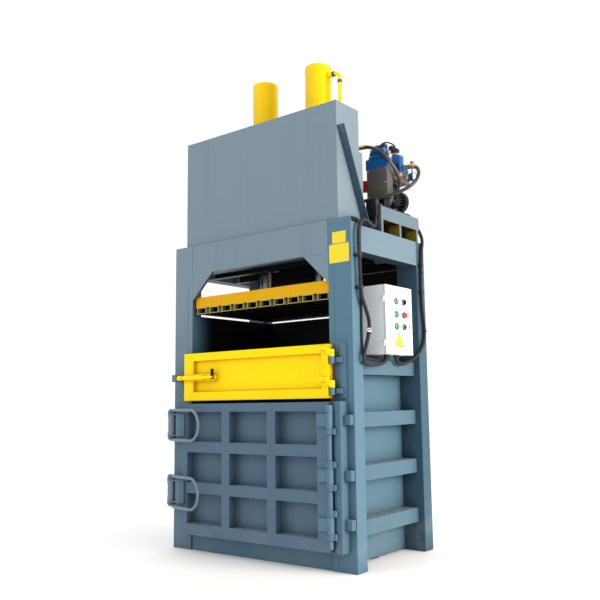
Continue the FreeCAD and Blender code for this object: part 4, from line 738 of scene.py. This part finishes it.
def tie_band(mesh, line, i, width, thick):
    """A flat band round a conduit, at one of its points."""
    band = sleeve(band_radius, band_radius + thick, -width / 2, width / 2)
    turn(mesh, band, line[i], line[i + 1] - line[i], 28)


ties = bmesh.new()
for line, share in ((front_line, 0.3), (front_line, 0.44), (front_line, 0.66), (rear_line, 0.3),
                    (rear_line, 0.62)):
    i = round(share * len(line))
    tie_band(ties, line, i, 0.005, 0.0016)
    slab(ties, (-0.004, -0.0035, -0.004), (0.003, 0.0035, 0.004), line[i] + RIGHT * 0.0156)
finished("cable_ties", ties, "wire_black")

white_tie = bmesh.new()
i = min(range(len(front_line)), key=lambda k: abs(front_line[k].z - 1.6))
tie_band(white_tie, front_line, i, 0.01, 0.0022)
tail = [front_line[i] + Vector(p) for p in ((0.016, 0, 0), (0.024, -0.012, 0.014), (0.026, -0.034, 0.02),
                                            (0.022, -0.055, 0.008))]
tube(white_tie, tail, [0.0035, 0.003, 0.003, 0.002], 8)
finished("white_tie", white_tie, "white_nylon")

# %% [markdown]
# ## Bolts
# Flanges, feet and caps are held by hexagon bolts on washers, the manifold by socket screws. Each
# group is one piece, because identical fasteners share one finish.

# %% Bolt shapes
def hex_bolt(mesh, place, direction, size):
    """A washer and a hexagon head for one thread size, in metres."""
    washer, head = 0.18 * size, 0.85 * size
    turn(mesh, plug(1.15 * size, 0, washer), place, direction, 20)
    flat, crown = 0.88 * size, 0.74 * size
    turn(mesh, [(0, washer), (flat, washer), (flat, head - 0.12 * size), (crown, head), (0, head)],
         place, direction, 6)


def socket_screw(mesh, place, direction, size):
    radius, head, key = 0.78 * size, 0.9 * size, 0.42 * size
    turn(mesh, [(0, 0), (radius, 0), (radius, head * 0.9), (radius * 0.92, head), (key, head),
                (key, head * 0.45), (0, head * 0.45)], place, direction, 18)


def bolt_circle(mesh, centre, direction, radius, count, size, draw=hex_bolt, phase=0.0):
    side, up = square_to(Vector(direction))
    for i in range(count):
        angle = 2 * math.pi * (i + phase) / count
        draw(mesh, Vector(centre) + (side * math.cos(angle) + up * math.sin(angle)) * radius, direction, size)

# %% Flange, brace, platform and header bolts
barrel_high = corners("cylinder_barrel_right")[1]
cylinder_x, cylinder_y, _ = middle("cylinder_barrel_right")
flange_thick, flange_circle, gland_circle = 0.025, 0.13, 0.088
flange_top = corners("cylinder_crown")[1].z + flange_thick
gland_foot = corners("cylinder_glands")[0].z
bolts = bmesh.new()
for x in (-cylinder_x, cylinder_x):
    bolt_circle(bolts, (x, cylinder_y, flange_top), UP, flange_circle, 12, 0.016)
    bolt_circle(bolts, (x, cylinder_y, gland_foot), -UP, gland_circle, 12, 0.01, socket_screw)
finished("cylinder_bolts", bolts, "zinc")

brace_top = corners("hood_braces")[1].z
hood_low, hood_high = corners("hood")
platform_low, platform_high = corners("pack_platform")
lean = Vector((0, -0.44, 1)).normalized()
face_normal = Vector((0, -lean.z, lean.y))
bolts = bmesh.new()
for drop in (0.035, 0.075):
    spot = Vector((hood_high.x + 0.034, hood_low.y + 0.008, brace_top)) - lean * drop
    hex_bolt(bolts, spot, face_normal, 0.012)
for x, y in product((0.03, 0.09), (platform_low.y + 0.1, platform_high.y - 0.2)):
    hex_bolt(bolts, (platform_high.x - x, y, platform_high.z), UP, 0.01)
finished("frame_bolts", bolts, "frame_paint")

# %% Bolts of the power pack
skid_low, skid_high = corners("pack_base")
block_low, block_high = corners("manifold_block")
motor_low, motor_high = corners("motor_body")
motor_x, _, motor_z = middle("motor_rotor")
skid_top = platform_high.z + 0.024
bolts = bmesh.new()
for x, y in product((skid_low.x + 0.018, skid_high.x - 0.018),
                    (skid_low.y + 0.02, (skid_low.y + skid_high.y) / 2, skid_high.y - 0.02)):
    hex_bolt(bolts, (x, y, skid_top), UP, 0.012)
for x, z in product((-0.035, 0.035), repeat=2):
    socket_screw(bolts, (motor_x + x, corners("pump")[0].y, motor_z + z), -BACK, 0.01)
bolt_circle(bolts, (motor_x, motor_low.y, motor_z), -BACK, 0.08, 8, 0.008, phase=0.5)
for x, z in product((block_low.x + 0.016, block_high.x - 0.016),
                    (block_low.z + 0.018, block_low.z + 0.11, block_high.z - 0.018)):
    socket_screw(bolts, (x, block_low.y, z), -BACK, 0.01)
for y in (block_low.y + 0.1, block_low.y + 0.2, block_high.y - 0.02):
    socket_screw(bolts, (block_high.x, y, block_high.z - 0.016), RIGHT, 0.01)
finished("pack_bolts", bolts, "zinc")

# %% [markdown]
# ## Weld beads
# The frame is arc welded. A bead is a low rope of overlapping drops, so its radius wanders by up
# to a fifth from ring to ring. Only half of each rope stands out of the corner that it fills.

# %% Welds of the frame
chance = random.Random(7)


def rope(mesh, points, radius):
    tube(mesh, points, [radius * chance.uniform(0.8, 1.15) for _ in points], 6)


def bead(mesh, start, end, radius=0.0038, pitch=0.009):
    start, end = Vector(start), Vector(end)
    count = max(3, round((end - start).length / pitch))
    rope(mesh, [start.lerp(end, i / count) for i in range(count + 1)], radius)


def bead_circle(mesh, centre, radius, thickness, pitch=0.008):
    count = round(2 * math.pi * radius / pitch)
    rope(mesh, [Vector(centre) + Vector((math.cos(a), math.sin(a), 0)) * radius
                for a in (2 * math.pi * i / count for i in range(count + 1))], thickness)


post_low, post_high = corners("front_post_right")
header_low, header_high = corners("front_header")
beam_low, beam_high = corners("side_beams")
wall_high, rib_low, rib_high = corners("side_walls")[1], *corners("wall_ribs")
header_bottom = corners("rear_header")[0].z
mouth, lip, lip_top, gusset_setback, beam_end = post_low.x, 0.048, 2.07, 0.0125, 0.118
rib_height, rib_count = 0.104, 4
rib_rise = (rib_high.z - rib_low.z - rib_height) / (rib_count - 1)
inner_faces = (post_high.y, -post_high.y)
welds = bmesh.new()
for side in (-1, 1):
    edge, lip_edge, back = side * mouth, side * (mouth + lip), post_low.y + gusset_setback
    bead(welds, (edge, post_low.y, header_bottom), (edge, post_low.y, header_high.z), 0.0016)
    bead(welds, (lip_edge, post_low.y, 0.02), (lip_edge, post_low.y, lip_top), 0.0018)
    bead(welds, (edge, back, header_low.z), (edge, back, header_bottom))
    for z, y in product((beam_low.z, beam_high.z), inner_faces):
        bead(welds, (side * (post_high.x - beam_end), y, z), (side * post_high.x, y, z))
    for y in inner_faces:
        bead(welds, (side * post_high.x, y, beam_low.z), (side * post_high.x, y, beam_high.z), 0.003)
for i in range(rib_count):
    low = rib_low.z + i * rib_rise
    for z in (low, low + rib_height):
        for side in (-1, 1):
            bead(welds, (side * wall_high.x, post_high.y, z), (side * wall_high.x, -post_high.y, z))
        bead(welds, (-wall_high.x, wall_high.y, z), (wall_high.x, wall_high.y, z))
    for side, y in product((-1, 1), inner_faces):
        bead(welds, (side * rib_high.x, y, low), (side * rib_high.x, y, low + rib_height), 0.003)
finished("frame_welds", welds, "weld")

# %% Welds of the door, the hood, the tank and the barrels
grid_low, grid_high = corners("main_door_grid")
pocket_floor = corners("main_door_plate")[0].y
bar, stiles, rails = 0.08, (0.071, 0.103), (0.081, 0.062)
leaf_length, leaf_height = 0.091, 0.083
leaf_feet = (0.274, 0.592, grid_high.z - 0.164)


def pocket_spans(low, high, count):
    size = (high - low - (count - 1) * bar) / count
    return [(low + i * (size + bar), low + i * (size + bar) + size) for i in range(count)]


def bead_ring(mesh, points, *how):
    for start, end in zip(points, points[1:] + points[:1]):
        bead(mesh, start, end, *how)


welds = bmesh.new()
for x, z in product(pocket_spans(grid_low.x + stiles[0], grid_high.x - stiles[1], 3),
                    pocket_spans(grid_low.z + rails[0], grid_high.z - rails[1], 3)):
    bead_ring(welds, [(x[i], pocket_floor, z[k]) for i, k in ((0, 0), (1, 0), (1, 1), (0, 1))], 0.0045, 0.012)
leaf_left, leaf_right = grid_high.x - leaf_length, grid_high.x - 0.004
for z in leaf_feet:
    for level in (z, z + leaf_height):
        bead(welds, (leaf_left, grid_low.y, level), (leaf_right, grid_low.y, level), 0.003)
    bead(welds, (leaf_left, grid_low.y, z), (leaf_left, grid_low.y, z + leaf_height), 0.003)
finished("door_welds", welds, "weld", "main_door")

welds = bmesh.new()
stitches, stitch = 9, 0.06
for i in range(stitches):
    x = hood_low.x + 0.1 + i * (hood_high.x - hood_low.x - 0.26) / (stitches - 1)
    bead(welds, (x, hood_low.y, hood_low.z), (x + stitch, hood_low.y, hood_low.z), 0.003)
for side in (-1, 1):
    bead(welds, (side * hood_high.x, hood_low.y + 0.01, hood_low.z),
         (side * hood_high.x, hood_low.y + 0.11, hood_low.z), 0.003)
finished("hood_welds", welds, "weld")

tank_low, tank_high = corners("oil_tank")
tank_top, tank_side = tank_high.z - 0.034, 0.377
welds = bmesh.new()
for level in (tank_top, tank_top - tank_side):
    bead_ring(welds, [(tank_low.x, tank_low.y, level), (tank_high.x, tank_low.y, level),
                      (tank_high.x, tank_high.y, level), (tank_low.x, tank_high.y, level)], 0.003)
finished("tank_welds", welds, "weld")

welds = bmesh.new()
for x in (-cylinder_x, cylinder_x):
    bead_circle(welds, (x, cylinder_y, barrel_high.z - 0.04), 0.1078, 0.0018)
    bead_circle(welds, (x, cylinder_y, flange_top), 0.1085, 0.004)
finished("barrel_welds", welds, "yellow_paint")

# %% [markdown]
# ## Latches and the main hinge
# The two ends of each latch reach over a pad on the door, with a lug and a spacer above and below
# it. A narrow strip closes the slot behind the hinge rod.

# %% Pads, spacers and the strip
pivot_x, pivot_y = corners("main_door_fittings")[0].x + 0.033, post_low.y - 0.072
pad_front, pad_reach, lug = post_low.y - 0.105, 0.077, 0.0102
bore, spacer_radius, bail_wall, play = 0.0125, 0.03, 0.021, 0.0006
pads, spacers = bmesh.new(), bmesh.new()
for node in ("latch_lower", "latch_upper"):
    latch_low, latch_high = corners(node)
    level = (latch_low.z + latch_high.z) / 2
    depth = (latch_high.z - latch_low.z) / 2 - bail_wall - pad_reach - lug - play
    slab(pads, (grid_low.x - 0.002, pad_front, level - pad_reach),
         (grid_low.x + 0.05, grid_low.y + 0.002, level + pad_reach))
    for sign in (-1, 1):
        z = sorted((level + sign * pad_reach, level + sign * (pad_reach + lug - 0.0004)))
        slab(pads, (grid_low.x - 0.004, pad_front - 0.001, z[0]),
             (grid_low.x + 0.056, grid_low.y + 0.002, z[1]))
        turn(spacers, sleeve(bore, spacer_radius, 0, depth),
             (pivot_x, pivot_y, level + sign * (pad_reach + lug)), UP * sign, 32)
finished("latch_pads", pads, "door_paint", "main_door", edges=0.0012)
finished("latch_spacers", spacers, "door_paint", "main_door", edges=0.0006)

bar_low, bar_high = corners("main_hinge_bar")
rod = middle("main_hinge_rod")
drawn("hinge_backing", "rib_paint", [
    (slab, (rod.x + 0.0165, rod.y + 0.022, bar_low.z + 0.004),
     (rod.x + 0.0345, rod.y + 0.028, bar_high.z - 0.004))], edges=0.0006)

# %% [markdown]
# ## Plates and the control panel
# Two thin yellow plates are riveted to the right post, and a yellow triangle is stuck to the
# panel. All three are blank. Buttons get the domed caps and the dark rings that a moulded button
# has, and each cap rides on its own button.

# %% Yellow plates and triangle
plate_thick = 0.0012
plates, rivets = bmesh.new(), bmesh.new()
for x, z, inset in (((0.04, 0.157), (2.219, 2.302), 0.006), ((0.012, 0.182), (2.082, 2.214), 0.006)):
    slab(plates, (post_low.x + x[0], post_low.y - plate_thick, z[0]), (post_low.x + x[1], post_low.y, z[1]))
    for rivet_z, rivet_x in product((z[0] + inset, z[1] - inset), (x[0] + inset, x[1] - inset)):
        turn(rivets, [(0.0034, 0), (0.0026, 0.0016), (0, 0.0022)],
             (post_low.x + rivet_x, post_low.y - plate_thick, rivet_z), -BACK, 12)
finished("post_plates", plates, "label", edges=0.0004)
finished("plate_rivets", rivets, "zinc")

panel_low = corners("panel_door")[0]
panel_face = corners("green_button_top")[1].x - 0.014
base_left, base_right, foot, tip, border = -0.03, 0.092, 1.512, 1.62, 0.005


def three_corner_plate(inset, proud):
    """A flat triangle on the panel, inset evenly from the outer outline."""
    mesh = bmesh.new()
    outline = [(base_left + 1.7 * inset, foot + inset), (base_right - 1.7 * inset, foot + inset),
               ((base_left + base_right) / 2, tip - 2.0 * inset)]
    lower, upper = ([mesh.verts.new((panel_face + x, y, z)) for y, z in outline] for x in (-0.0002, proud))
    skin(mesh, [lower, upper])
    mesh.faces.new(upper)
    mesh.faces.new(reversed(lower))
    return mesh


finished("panel_triangle_border", three_corner_plate(0.0, 0.0008), "wire_black", "panel_door")
finished("panel_triangle", three_corner_plate(border, 0.0014), "label", "panel_door", 0.0003)

# %% Buttons and the panel's lock
cap_finish = {"green_button_top": "green_plastic", "green_button_middle": "green_plastic",
              "green_button_bottom": "green_plastic", "red_button": "red_plastic",
              "black_button": "black_plastic", "selector_switch": None}
bezel_profile = [(0.0155, -0.0004), (0.0245, -0.0004), (0.0245, 0.0055), (0.0232, 0.007), (0.0232, 0.004),
                 (0.0155, 0.004)]
ring_profile = [(0.0231, 0.0042), (0.0231, 0.0078), (0.0205, 0.009), (0.016, 0.0062), (0.0156, 0.0042)]
bezels, rings = bmesh.new(), bmesh.new()
for name, finish in cap_finish.items():
    low, high = corners(name)
    centre = (low + high) / 2
    if finish:
        head, lift = (0.0205, 0.0045) if name == "red_button" else (0.0146, 0.0)
        cap = bmesh.new()
        turn(cap, [(0.0136, -0.0045), (0.0136, lift - 0.0038), (head - 0.0008, lift - 0.0036),
                   (head, lift - 0.002), (head, lift), (head * 0.9, lift + 0.0022),
                   (head * 0.5, lift + 0.0034), (0, lift + 0.0036)],
             (high.x, centre.y, centre.z), RIGHT, 32)
        finished(name + "_cap", cap, finish, name)
    turn(bezels, bezel_profile, (panel_face, centre.y, centre.z), RIGHT, 32)
    turn(rings, ring_profile, (panel_face, centre.y, centre.z), RIGHT, 32)
finished("panel_bezels", bezels, "wire_black", "panel_door")
finished("panel_rings", rings, "satin_ring", "panel_door")

lock = Vector((panel_face, panel_low.y + 0.343, panel_low.z + 0.208))
drawn("panel_lock", "zinc", [
    (turn, [(0.0142, 0.0002), (0.0125, 0.0002), (0.0125, 0.0045), (0.0098, 0.0045)], lock, RIGHT, 24),
    (slab, (0.0048, -0.0012, -0.006), (0.0056, 0.0012, 0.006), lock)], "panel_door")

# %% [markdown]
# ## Details of the power pack
# Valves carry coils with ribbed nuts, plugs with a knurled screw and a lifting handle. The motor
# gets the lid, the screws and the gland of its terminal box. The tank has a sight glass, a
# knurled filler and a drain plug.

# %% Valves, plugs and the handle
top = block_high.z
valve_depth, rear_setback = 0.08, 0.145
coil_x, front_y = block_low.x + 0.099, block_low.y + valve_depth / 2
rear_x, rear_y = block_high.x - 0.046, block_low.y + valve_depth + rear_setback
knurl = [(0.012, 0), (0.0165, 0.001), (0.0165, 0.01), (0.013, 0.0125), (0, 0.0125)]
trims = bmesh.new()
for place in ((coil_x - 0.019, front_y, top + 0.178), (rear_x - 0.016, rear_y, top + 0.156),
              (rear_x + 0.024, rear_y, top + 0.134)):
    turn(trims, knurl, place, UP, 32, 0.07)
for x, z in product((-0.052, 0.05), (0.09, 0.138)):
    socket_screw(trims, (coil_x + x, block_low.y, top + z), -BACK, 0.006)
for x, y in product((block_low.x + 0.004, block_high.x - 0.014), (block_low.y + 0.016, block_low.y + 0.064)):
    socket_screw(trims, (x, y, top + 0.078), UP, 0.008)
finished("valve_screws", trims, "zinc")

handle = bmesh.new()
grip = Vector((coil_x + 0.01, front_y + 0.03, top + 0.15))
arch = ((-0.035, 0.0, 0.0), (-0.03, 0.01, 0.045), (-0.004, 0.03, 0.078), (0.03, 0.055, 0.072),
        (0.062, 0.075, 0.048), (0.058, 0.085, 0.02), (0.03, 0.08, 0.006))
line = guide_line("valve_handle_guide", [tuple((grip + Vector(p)) * 1000) for p in arch], 0.01, 0.005)
tube(handle, line, [0.0055] * len(line), 12)
slab(handle, (0.026, 0.04, 0.01), (0.06, 0.078, 0.04), grip)
finished("valve_handle", handle, "wire_black", edges=0.002)

plug_caps = bmesh.new()
plug_x = coil_x + 0.036
for place, reach in (((plug_x, front_y, top + 0.184), 0.019), ((rear_x - 0.016, rear_y, top + 0.196), 0.022)):
    turn(plug_caps, [(reach, 0), (reach, 0.004), (reach * 0.8, 0.01), (0.006, 0.012), (0.006, 0.016),
                     (0, 0.016)], place, UP, 24)
gland = [(0.008, 0), (0.011, 0), (0.011, 0.012), (0.008, 0.016), (0.005, 0.022), (0, 0.022)]
turn(plug_caps, gland, (plug_x, front_y + 0.022, top + 0.167), BACK, 12)
turn(plug_caps, gland, (rear_x - 0.046, rear_y, top + 0.182), -RIGHT, 12)
finished("plug_caps", plug_caps, "wire_black")

# %% Nuts in brass and steel
nuts = bmesh.new()
small_nut = nut(0.0185, 0.016)
for setback in (0.03, 0.075, 0.17):
    turn(nuts, small_nut, (block_high.x + 0.006, block_low.y + valve_depth + setback, top - 0.04), RIGHT, 6)
for rise, x in ((0.1, 0.02), (0.128, 0.028)):
    turn(nuts, small_nut, (block_low.x + x, front_y, top + rise), -RIGHT, 6)
turn(nuts, small_nut, (coil_x + 0.069, front_y, top + 0.112), RIGHT, 6)
finished("brass_nuts", nuts, "brass")

nuts = bmesh.new()
port_z, port_face = barrel_high.z - 0.094, cylinder_x + 0.1445
for shape, x, z, direction in ((nut(0.022, 0.022), port_face, port_z, RIGHT),
                               (nut(0.019, 0.026), 0.5, port_z - 0.062, -UP),
                               (nut(0.019, 0.026), 0.552, 3.05, RIGHT)):
    turn(nuts, shape, (x, cylinder_y, z), direction, 6)
finished("pipe_nuts", nuts, "cast_metal")

# %% Pressure gauge
gauge_low, gauge_high = corners("pressure_gauge")
dial = Vector((gauge_high.x, gauge_low.y + 0.033, block_high.z - 0.022))
marks = bmesh.new()


def dial_stroke(degrees, reaches, radii, proud, steps):
    """A mark or the needle: points at some distances from the dial's middle."""
    toward = Vector((0, math.cos(math.radians(degrees)), math.sin(math.radians(degrees))))
    tube(marks, [dial + toward * reach + RIGHT * proud for reach in reaches], radii, steps)


for i in range(11):
    dial_stroke(225 - 27 * i, (0.0205, 0.0245), (0.0006, 0.0006), 0.001, 4)
dial_stroke(190, (-0.006, 0.0, 0.019), (0.0009, 0.0012, 0.0004), 0.0016, 6)
drawn("gauge_face", "dial", [(turn, [(0.0285, -0.001), (0.0285, 0.0006), (0, 0.0008)], dial, RIGHT, 40)])
drawn("gauge_bezel", "valve_paint", [
    (turn, [(0.0332, -0.006), (0.0345, -0.004), (0.0345, 0.002), (0.0325, 0.0042), (0.0285, 0.0042),
            (0.028, 0.001)], dial, RIGHT, 40)])
finished("gauge_marks", marks, "wire_black")
drawn("gauge_tap_cap", "red_plastic", [
    (turn, [(0.0122, -0.0005), (0.015, 0.001), (0.015, 0.012), (0.012, 0.0165), (0, 0.0165)],
     (gauge_low.x + 0.033, dial.y, gauge_high.z - 0.0155), UP, 24, 0.08)])

# %% Motor
terminal_top, terminal_y = motor_high.z, (motor_low.y + motor_high.y - 0.045) / 2
drawn("terminal_screws", "zinc", [
    (socket_screw, (motor_x + x, terminal_y + y, terminal_top), UP, 0.006)
    for x, y in product((-0.036, 0.036), (-0.031, 0.031))])
drawn("terminal_lid", "motor_paint", [
    (slab, (-0.048, -0.043, -0.01), (0.048, 0.043, -0.0005), (motor_x, terminal_y, terminal_top)),
    (turn, [(0.01, 0), (0.014, 0), (0.014, 0.014), (0.01, 0.018), (0.008, 0.026), (0, 0.026)],
     (motor_x + 0.045, terminal_y, terminal_top - 0.026), RIGHT, 12)], edges=0.0015)
drawn("fan_grille", "motor_paint", [
    (turn, [(radius - 0.0016, 0.0), (radius, 0.0022), (radius + 0.0016, 0.0)],
     (motor_x, motor_high.y, motor_z), BACK, 40) for radius in (0.03, 0.044, 0.058, 0.072)])

# %% Oil tank
sight = Vector((tank_low.x + 0.58, tank_high.y, tank_low.z + 0.2))
drawn("sight_glass", "dial", [(slab, (-0.01, -0.001, -0.055), (0.01, 0.0058, 0.055), sight)], edges=0.002)
drawn("sight_glass_frame", "wire_black", [
    (slab, (left, -0.001, foot), (right, proud, head), sight) for left, right, proud, foot, head in (
        (-0.016, 0.016, 0.009, -0.075, -0.055), (-0.016, 0.016, 0.009, 0.055, 0.075),
        (-0.016, -0.0105, 0.007, -0.056, 0.056), (0.0105, 0.016, 0.007, -0.056, 0.056))], edges=0.0015)
drawn("filler_knurl", "zinc", [
    (turn, [(0.0423, 0.004), (0.044, 0.006), (0.044, 0.026), (0.0423, 0.028)],
     (tank_low.x + 0.12, tank_high.y - 0.09, tank_top), UP, 64, 0.03)])
drawn("drain_plug", "zinc", [
    (hex_bolt, (tank_low.x + 0.2, tank_high.y, tank_low.z + 0.045), BACK, 0.02)])

# %% Pressure switch
stem = Vector((block_low.x - 0.048, block_low.y + 0.045, block_low.z + 0.078))
drawn("pressure_switch", "red_plastic", [
    (turn, [(0, 0), (0.017, 0), (0.019, 0.003), (0.019, 0.05), (0.021, 0.052), (0.021, 0.084),
            (0.018, 0.088), (0, 0.088)], stem, UP, 24)])
drawn("pressure_switch_neck", "zinc", [
    (turn, plug(0.01, 0, 0.034), stem + Vector((0.016, 0, 0.022)), RIGHT, 16),
    (turn, plug(0.014, 0, 0.01), (block_low.x - 0.01, stem.y, stem.z + 0.022), RIGHT, 6)])

# %% [markdown]
# ## Closing sheets
# Thin sheets close the platform's left and rear and the gap above the rear wall. A black sheet
# with a raised rim sits on the right post's outer face near its top, as painted shade, and a
# sleeve covers the handle of the feed bolt.

# %% Platform's back, guard, black shade sheet and sleeve
sheet, inset = 0.003, 0.006
low_z, high_z = platform_low.z + inset, platform_high.z - inset
left, front, rear = platform_low.x + 0.004, platform_low.y + 0.055, platform_high.y - 0.009
bay_back = bmesh.new()
slab(bay_back, (left, front, low_z), (left + sheet, rear + sheet, high_z))
for y in (front, rear):
    slab(bay_back, (left, y, low_z), (left + 0.018, y + sheet, high_z))
slab(bay_back, (left + 0.02, rear, low_z), (platform_high.x - 0.012, rear + sheet, high_z))
finished("platform_back", bay_back, "platform_paint", edges=0.0006)

guard = bmesh.new()
guard_y, guard_foot, guard_top, guard_sheet = 0.4475, wall_high.z + 0.014, header_bottom - 0.001, 0.0025
half = mouth - 0.001
slab(guard, (-half, guard_y, guard_foot), (half, guard_y + guard_sheet, guard_top))
slab(guard, (-half, guard_y, guard_foot), (half, guard_y + 0.022, guard_foot + guard_sheet))
for x in (-mouth / 3, mouth / 3):
    slab(guard, (x - 0.02, guard_y + 0.0024, guard_foot + 0.002), (x + 0.02, guard_y + 0.02, guard_top))
finished("rear_guard", guard, "frame_paint", edges=0.0008)

# Painted shade: a black sheet with a raised rim on the right post's outer face near its top.
notch_shade_sheet = bmesh.new()
slot_y, slot_z = (post_low.y + 0.01, post_low.y + 0.082), (post_high.z - 0.034, post_high.z - 0.004)
face, rim, line_half = post_high.x - 0.001, post_high.x + 0.004, 0.002
slab(notch_shade_sheet, (face, slot_y[0], slot_z[0]), (post_high.x + 0.0008, slot_y[1], slot_z[1]))
for y in slot_y:
    slab(notch_shade_sheet, (face, y - line_half, slot_z[0]), (rim, y + line_half, slot_z[1]))
for z in slot_z:
    slab(notch_shade_sheet, (face, slot_y[0] - line_half, z - line_half), (rim, slot_y[1] + line_half, z + line_half))
finished("post_notch_shade_sheet", notch_shade_sheet, "wire_black", edges=0.0008)

bolt_high = corners("feed_bolt")[1]
length = 0.078
drawn("bolt_handle_sleeve", "wire_black", [
    (turn, [(0.0102, 0), (0.0122, 0.002), (0.0126, 0.5 * length), (0.0122, length - 0.002),
            (0.0102, length), (0, length)],
     (bolt_high.x - 0.01, middle("feed_bolt").y, bolt_high.z - length + 0.0008), UP, 20)], "feed_bolt")

# %% [markdown]
# ## The studio
# A pale floor that runs out of sight, a bright even world, and two large soft lamps. The strong,
# warm one stands far to the right, so the right-hand faces are the lighter ones. The weak one
# stands high in front, on the left.

# %% Floor and lights
def pale_floor():
    shade = Shade("studio_floor")
    tone = shade.noise(0.6, 2.0) * 0.01 + 0.965
    return shade.set(Base_Color=shade.node("CombineXYZ", {}, tone, tone, tone), Roughness=0.65)


bpy.ops.mesh.primitive_plane_add(size=60.0, location=(0, 0, -0.0005))
floor = bpy.context.object
floor.name = "studio_floor"
floor.data.materials.append(pale_floor())

world = bpy.data.worlds.new("studio")
bpy.context.scene.world = world
world.use_nodes = True
sky = world.node_tree.nodes["Background"]
sky.inputs["Color"].default_value = rgb(1.0, 1.0, 1.0)
sky.inputs["Strength"].default_value = 1.06


def soft_lamp(name, place, target, size, power, colour):
    lamp = bpy.data.lights.new(name, "AREA")
    lamp.shape = "SQUARE"
    lamp.size = size
    lamp.energy = power
    lamp.color = colour
    obj = bpy.data.objects.new(name, lamp)
    bpy.context.scene.collection.objects.link(obj)
    obj.location = place
    obj.rotation_euler = (Vector(target) - Vector(place)).to_track_quat("-Z", "Y").to_euler()


soft_lamp("key", (8.5, 0.6, 2.6), (0.9, 0, 1.7), 3.5, 800.0, (1.0, 0.84, 0.7))
soft_lamp("fill", (-4.0, -7.0, 6.5), (0, 0, 2.6), 4.0, 120.0, (1.0, 1.0, 1.0))

# %% [markdown]
# ## The camera
# It stands at eye height, to the right of the front corner, and looks slightly up.

# %% Camera
eye = Vector((3.8, -4.6445, 1.1366))
heading, tilt, roll = math.radians(36.77), math.radians(7.41), math.radians(-1.02)
view = Vector((-math.sin(heading) * math.cos(tilt), math.cos(heading) * math.cos(tilt), math.sin(tilt)))
lens = bpy.data.cameras.new("camera")
lens.lens = 44.9
lens.shift_x = -0.0504
lens.shift_y = 0.0038
camera = bpy.data.objects.new("camera", lens)
bpy.context.scene.collection.objects.link(camera)
level = view.to_track_quat("-Z", "Y").to_matrix()
camera.matrix_world = Matrix.Translation(eye) @ (level @ Matrix.Rotation(roll, 3, "Z")).to_4x4()
bpy.context.scene.camera = camera
bpy.context.scene.view_settings.view_transform = "Standard"
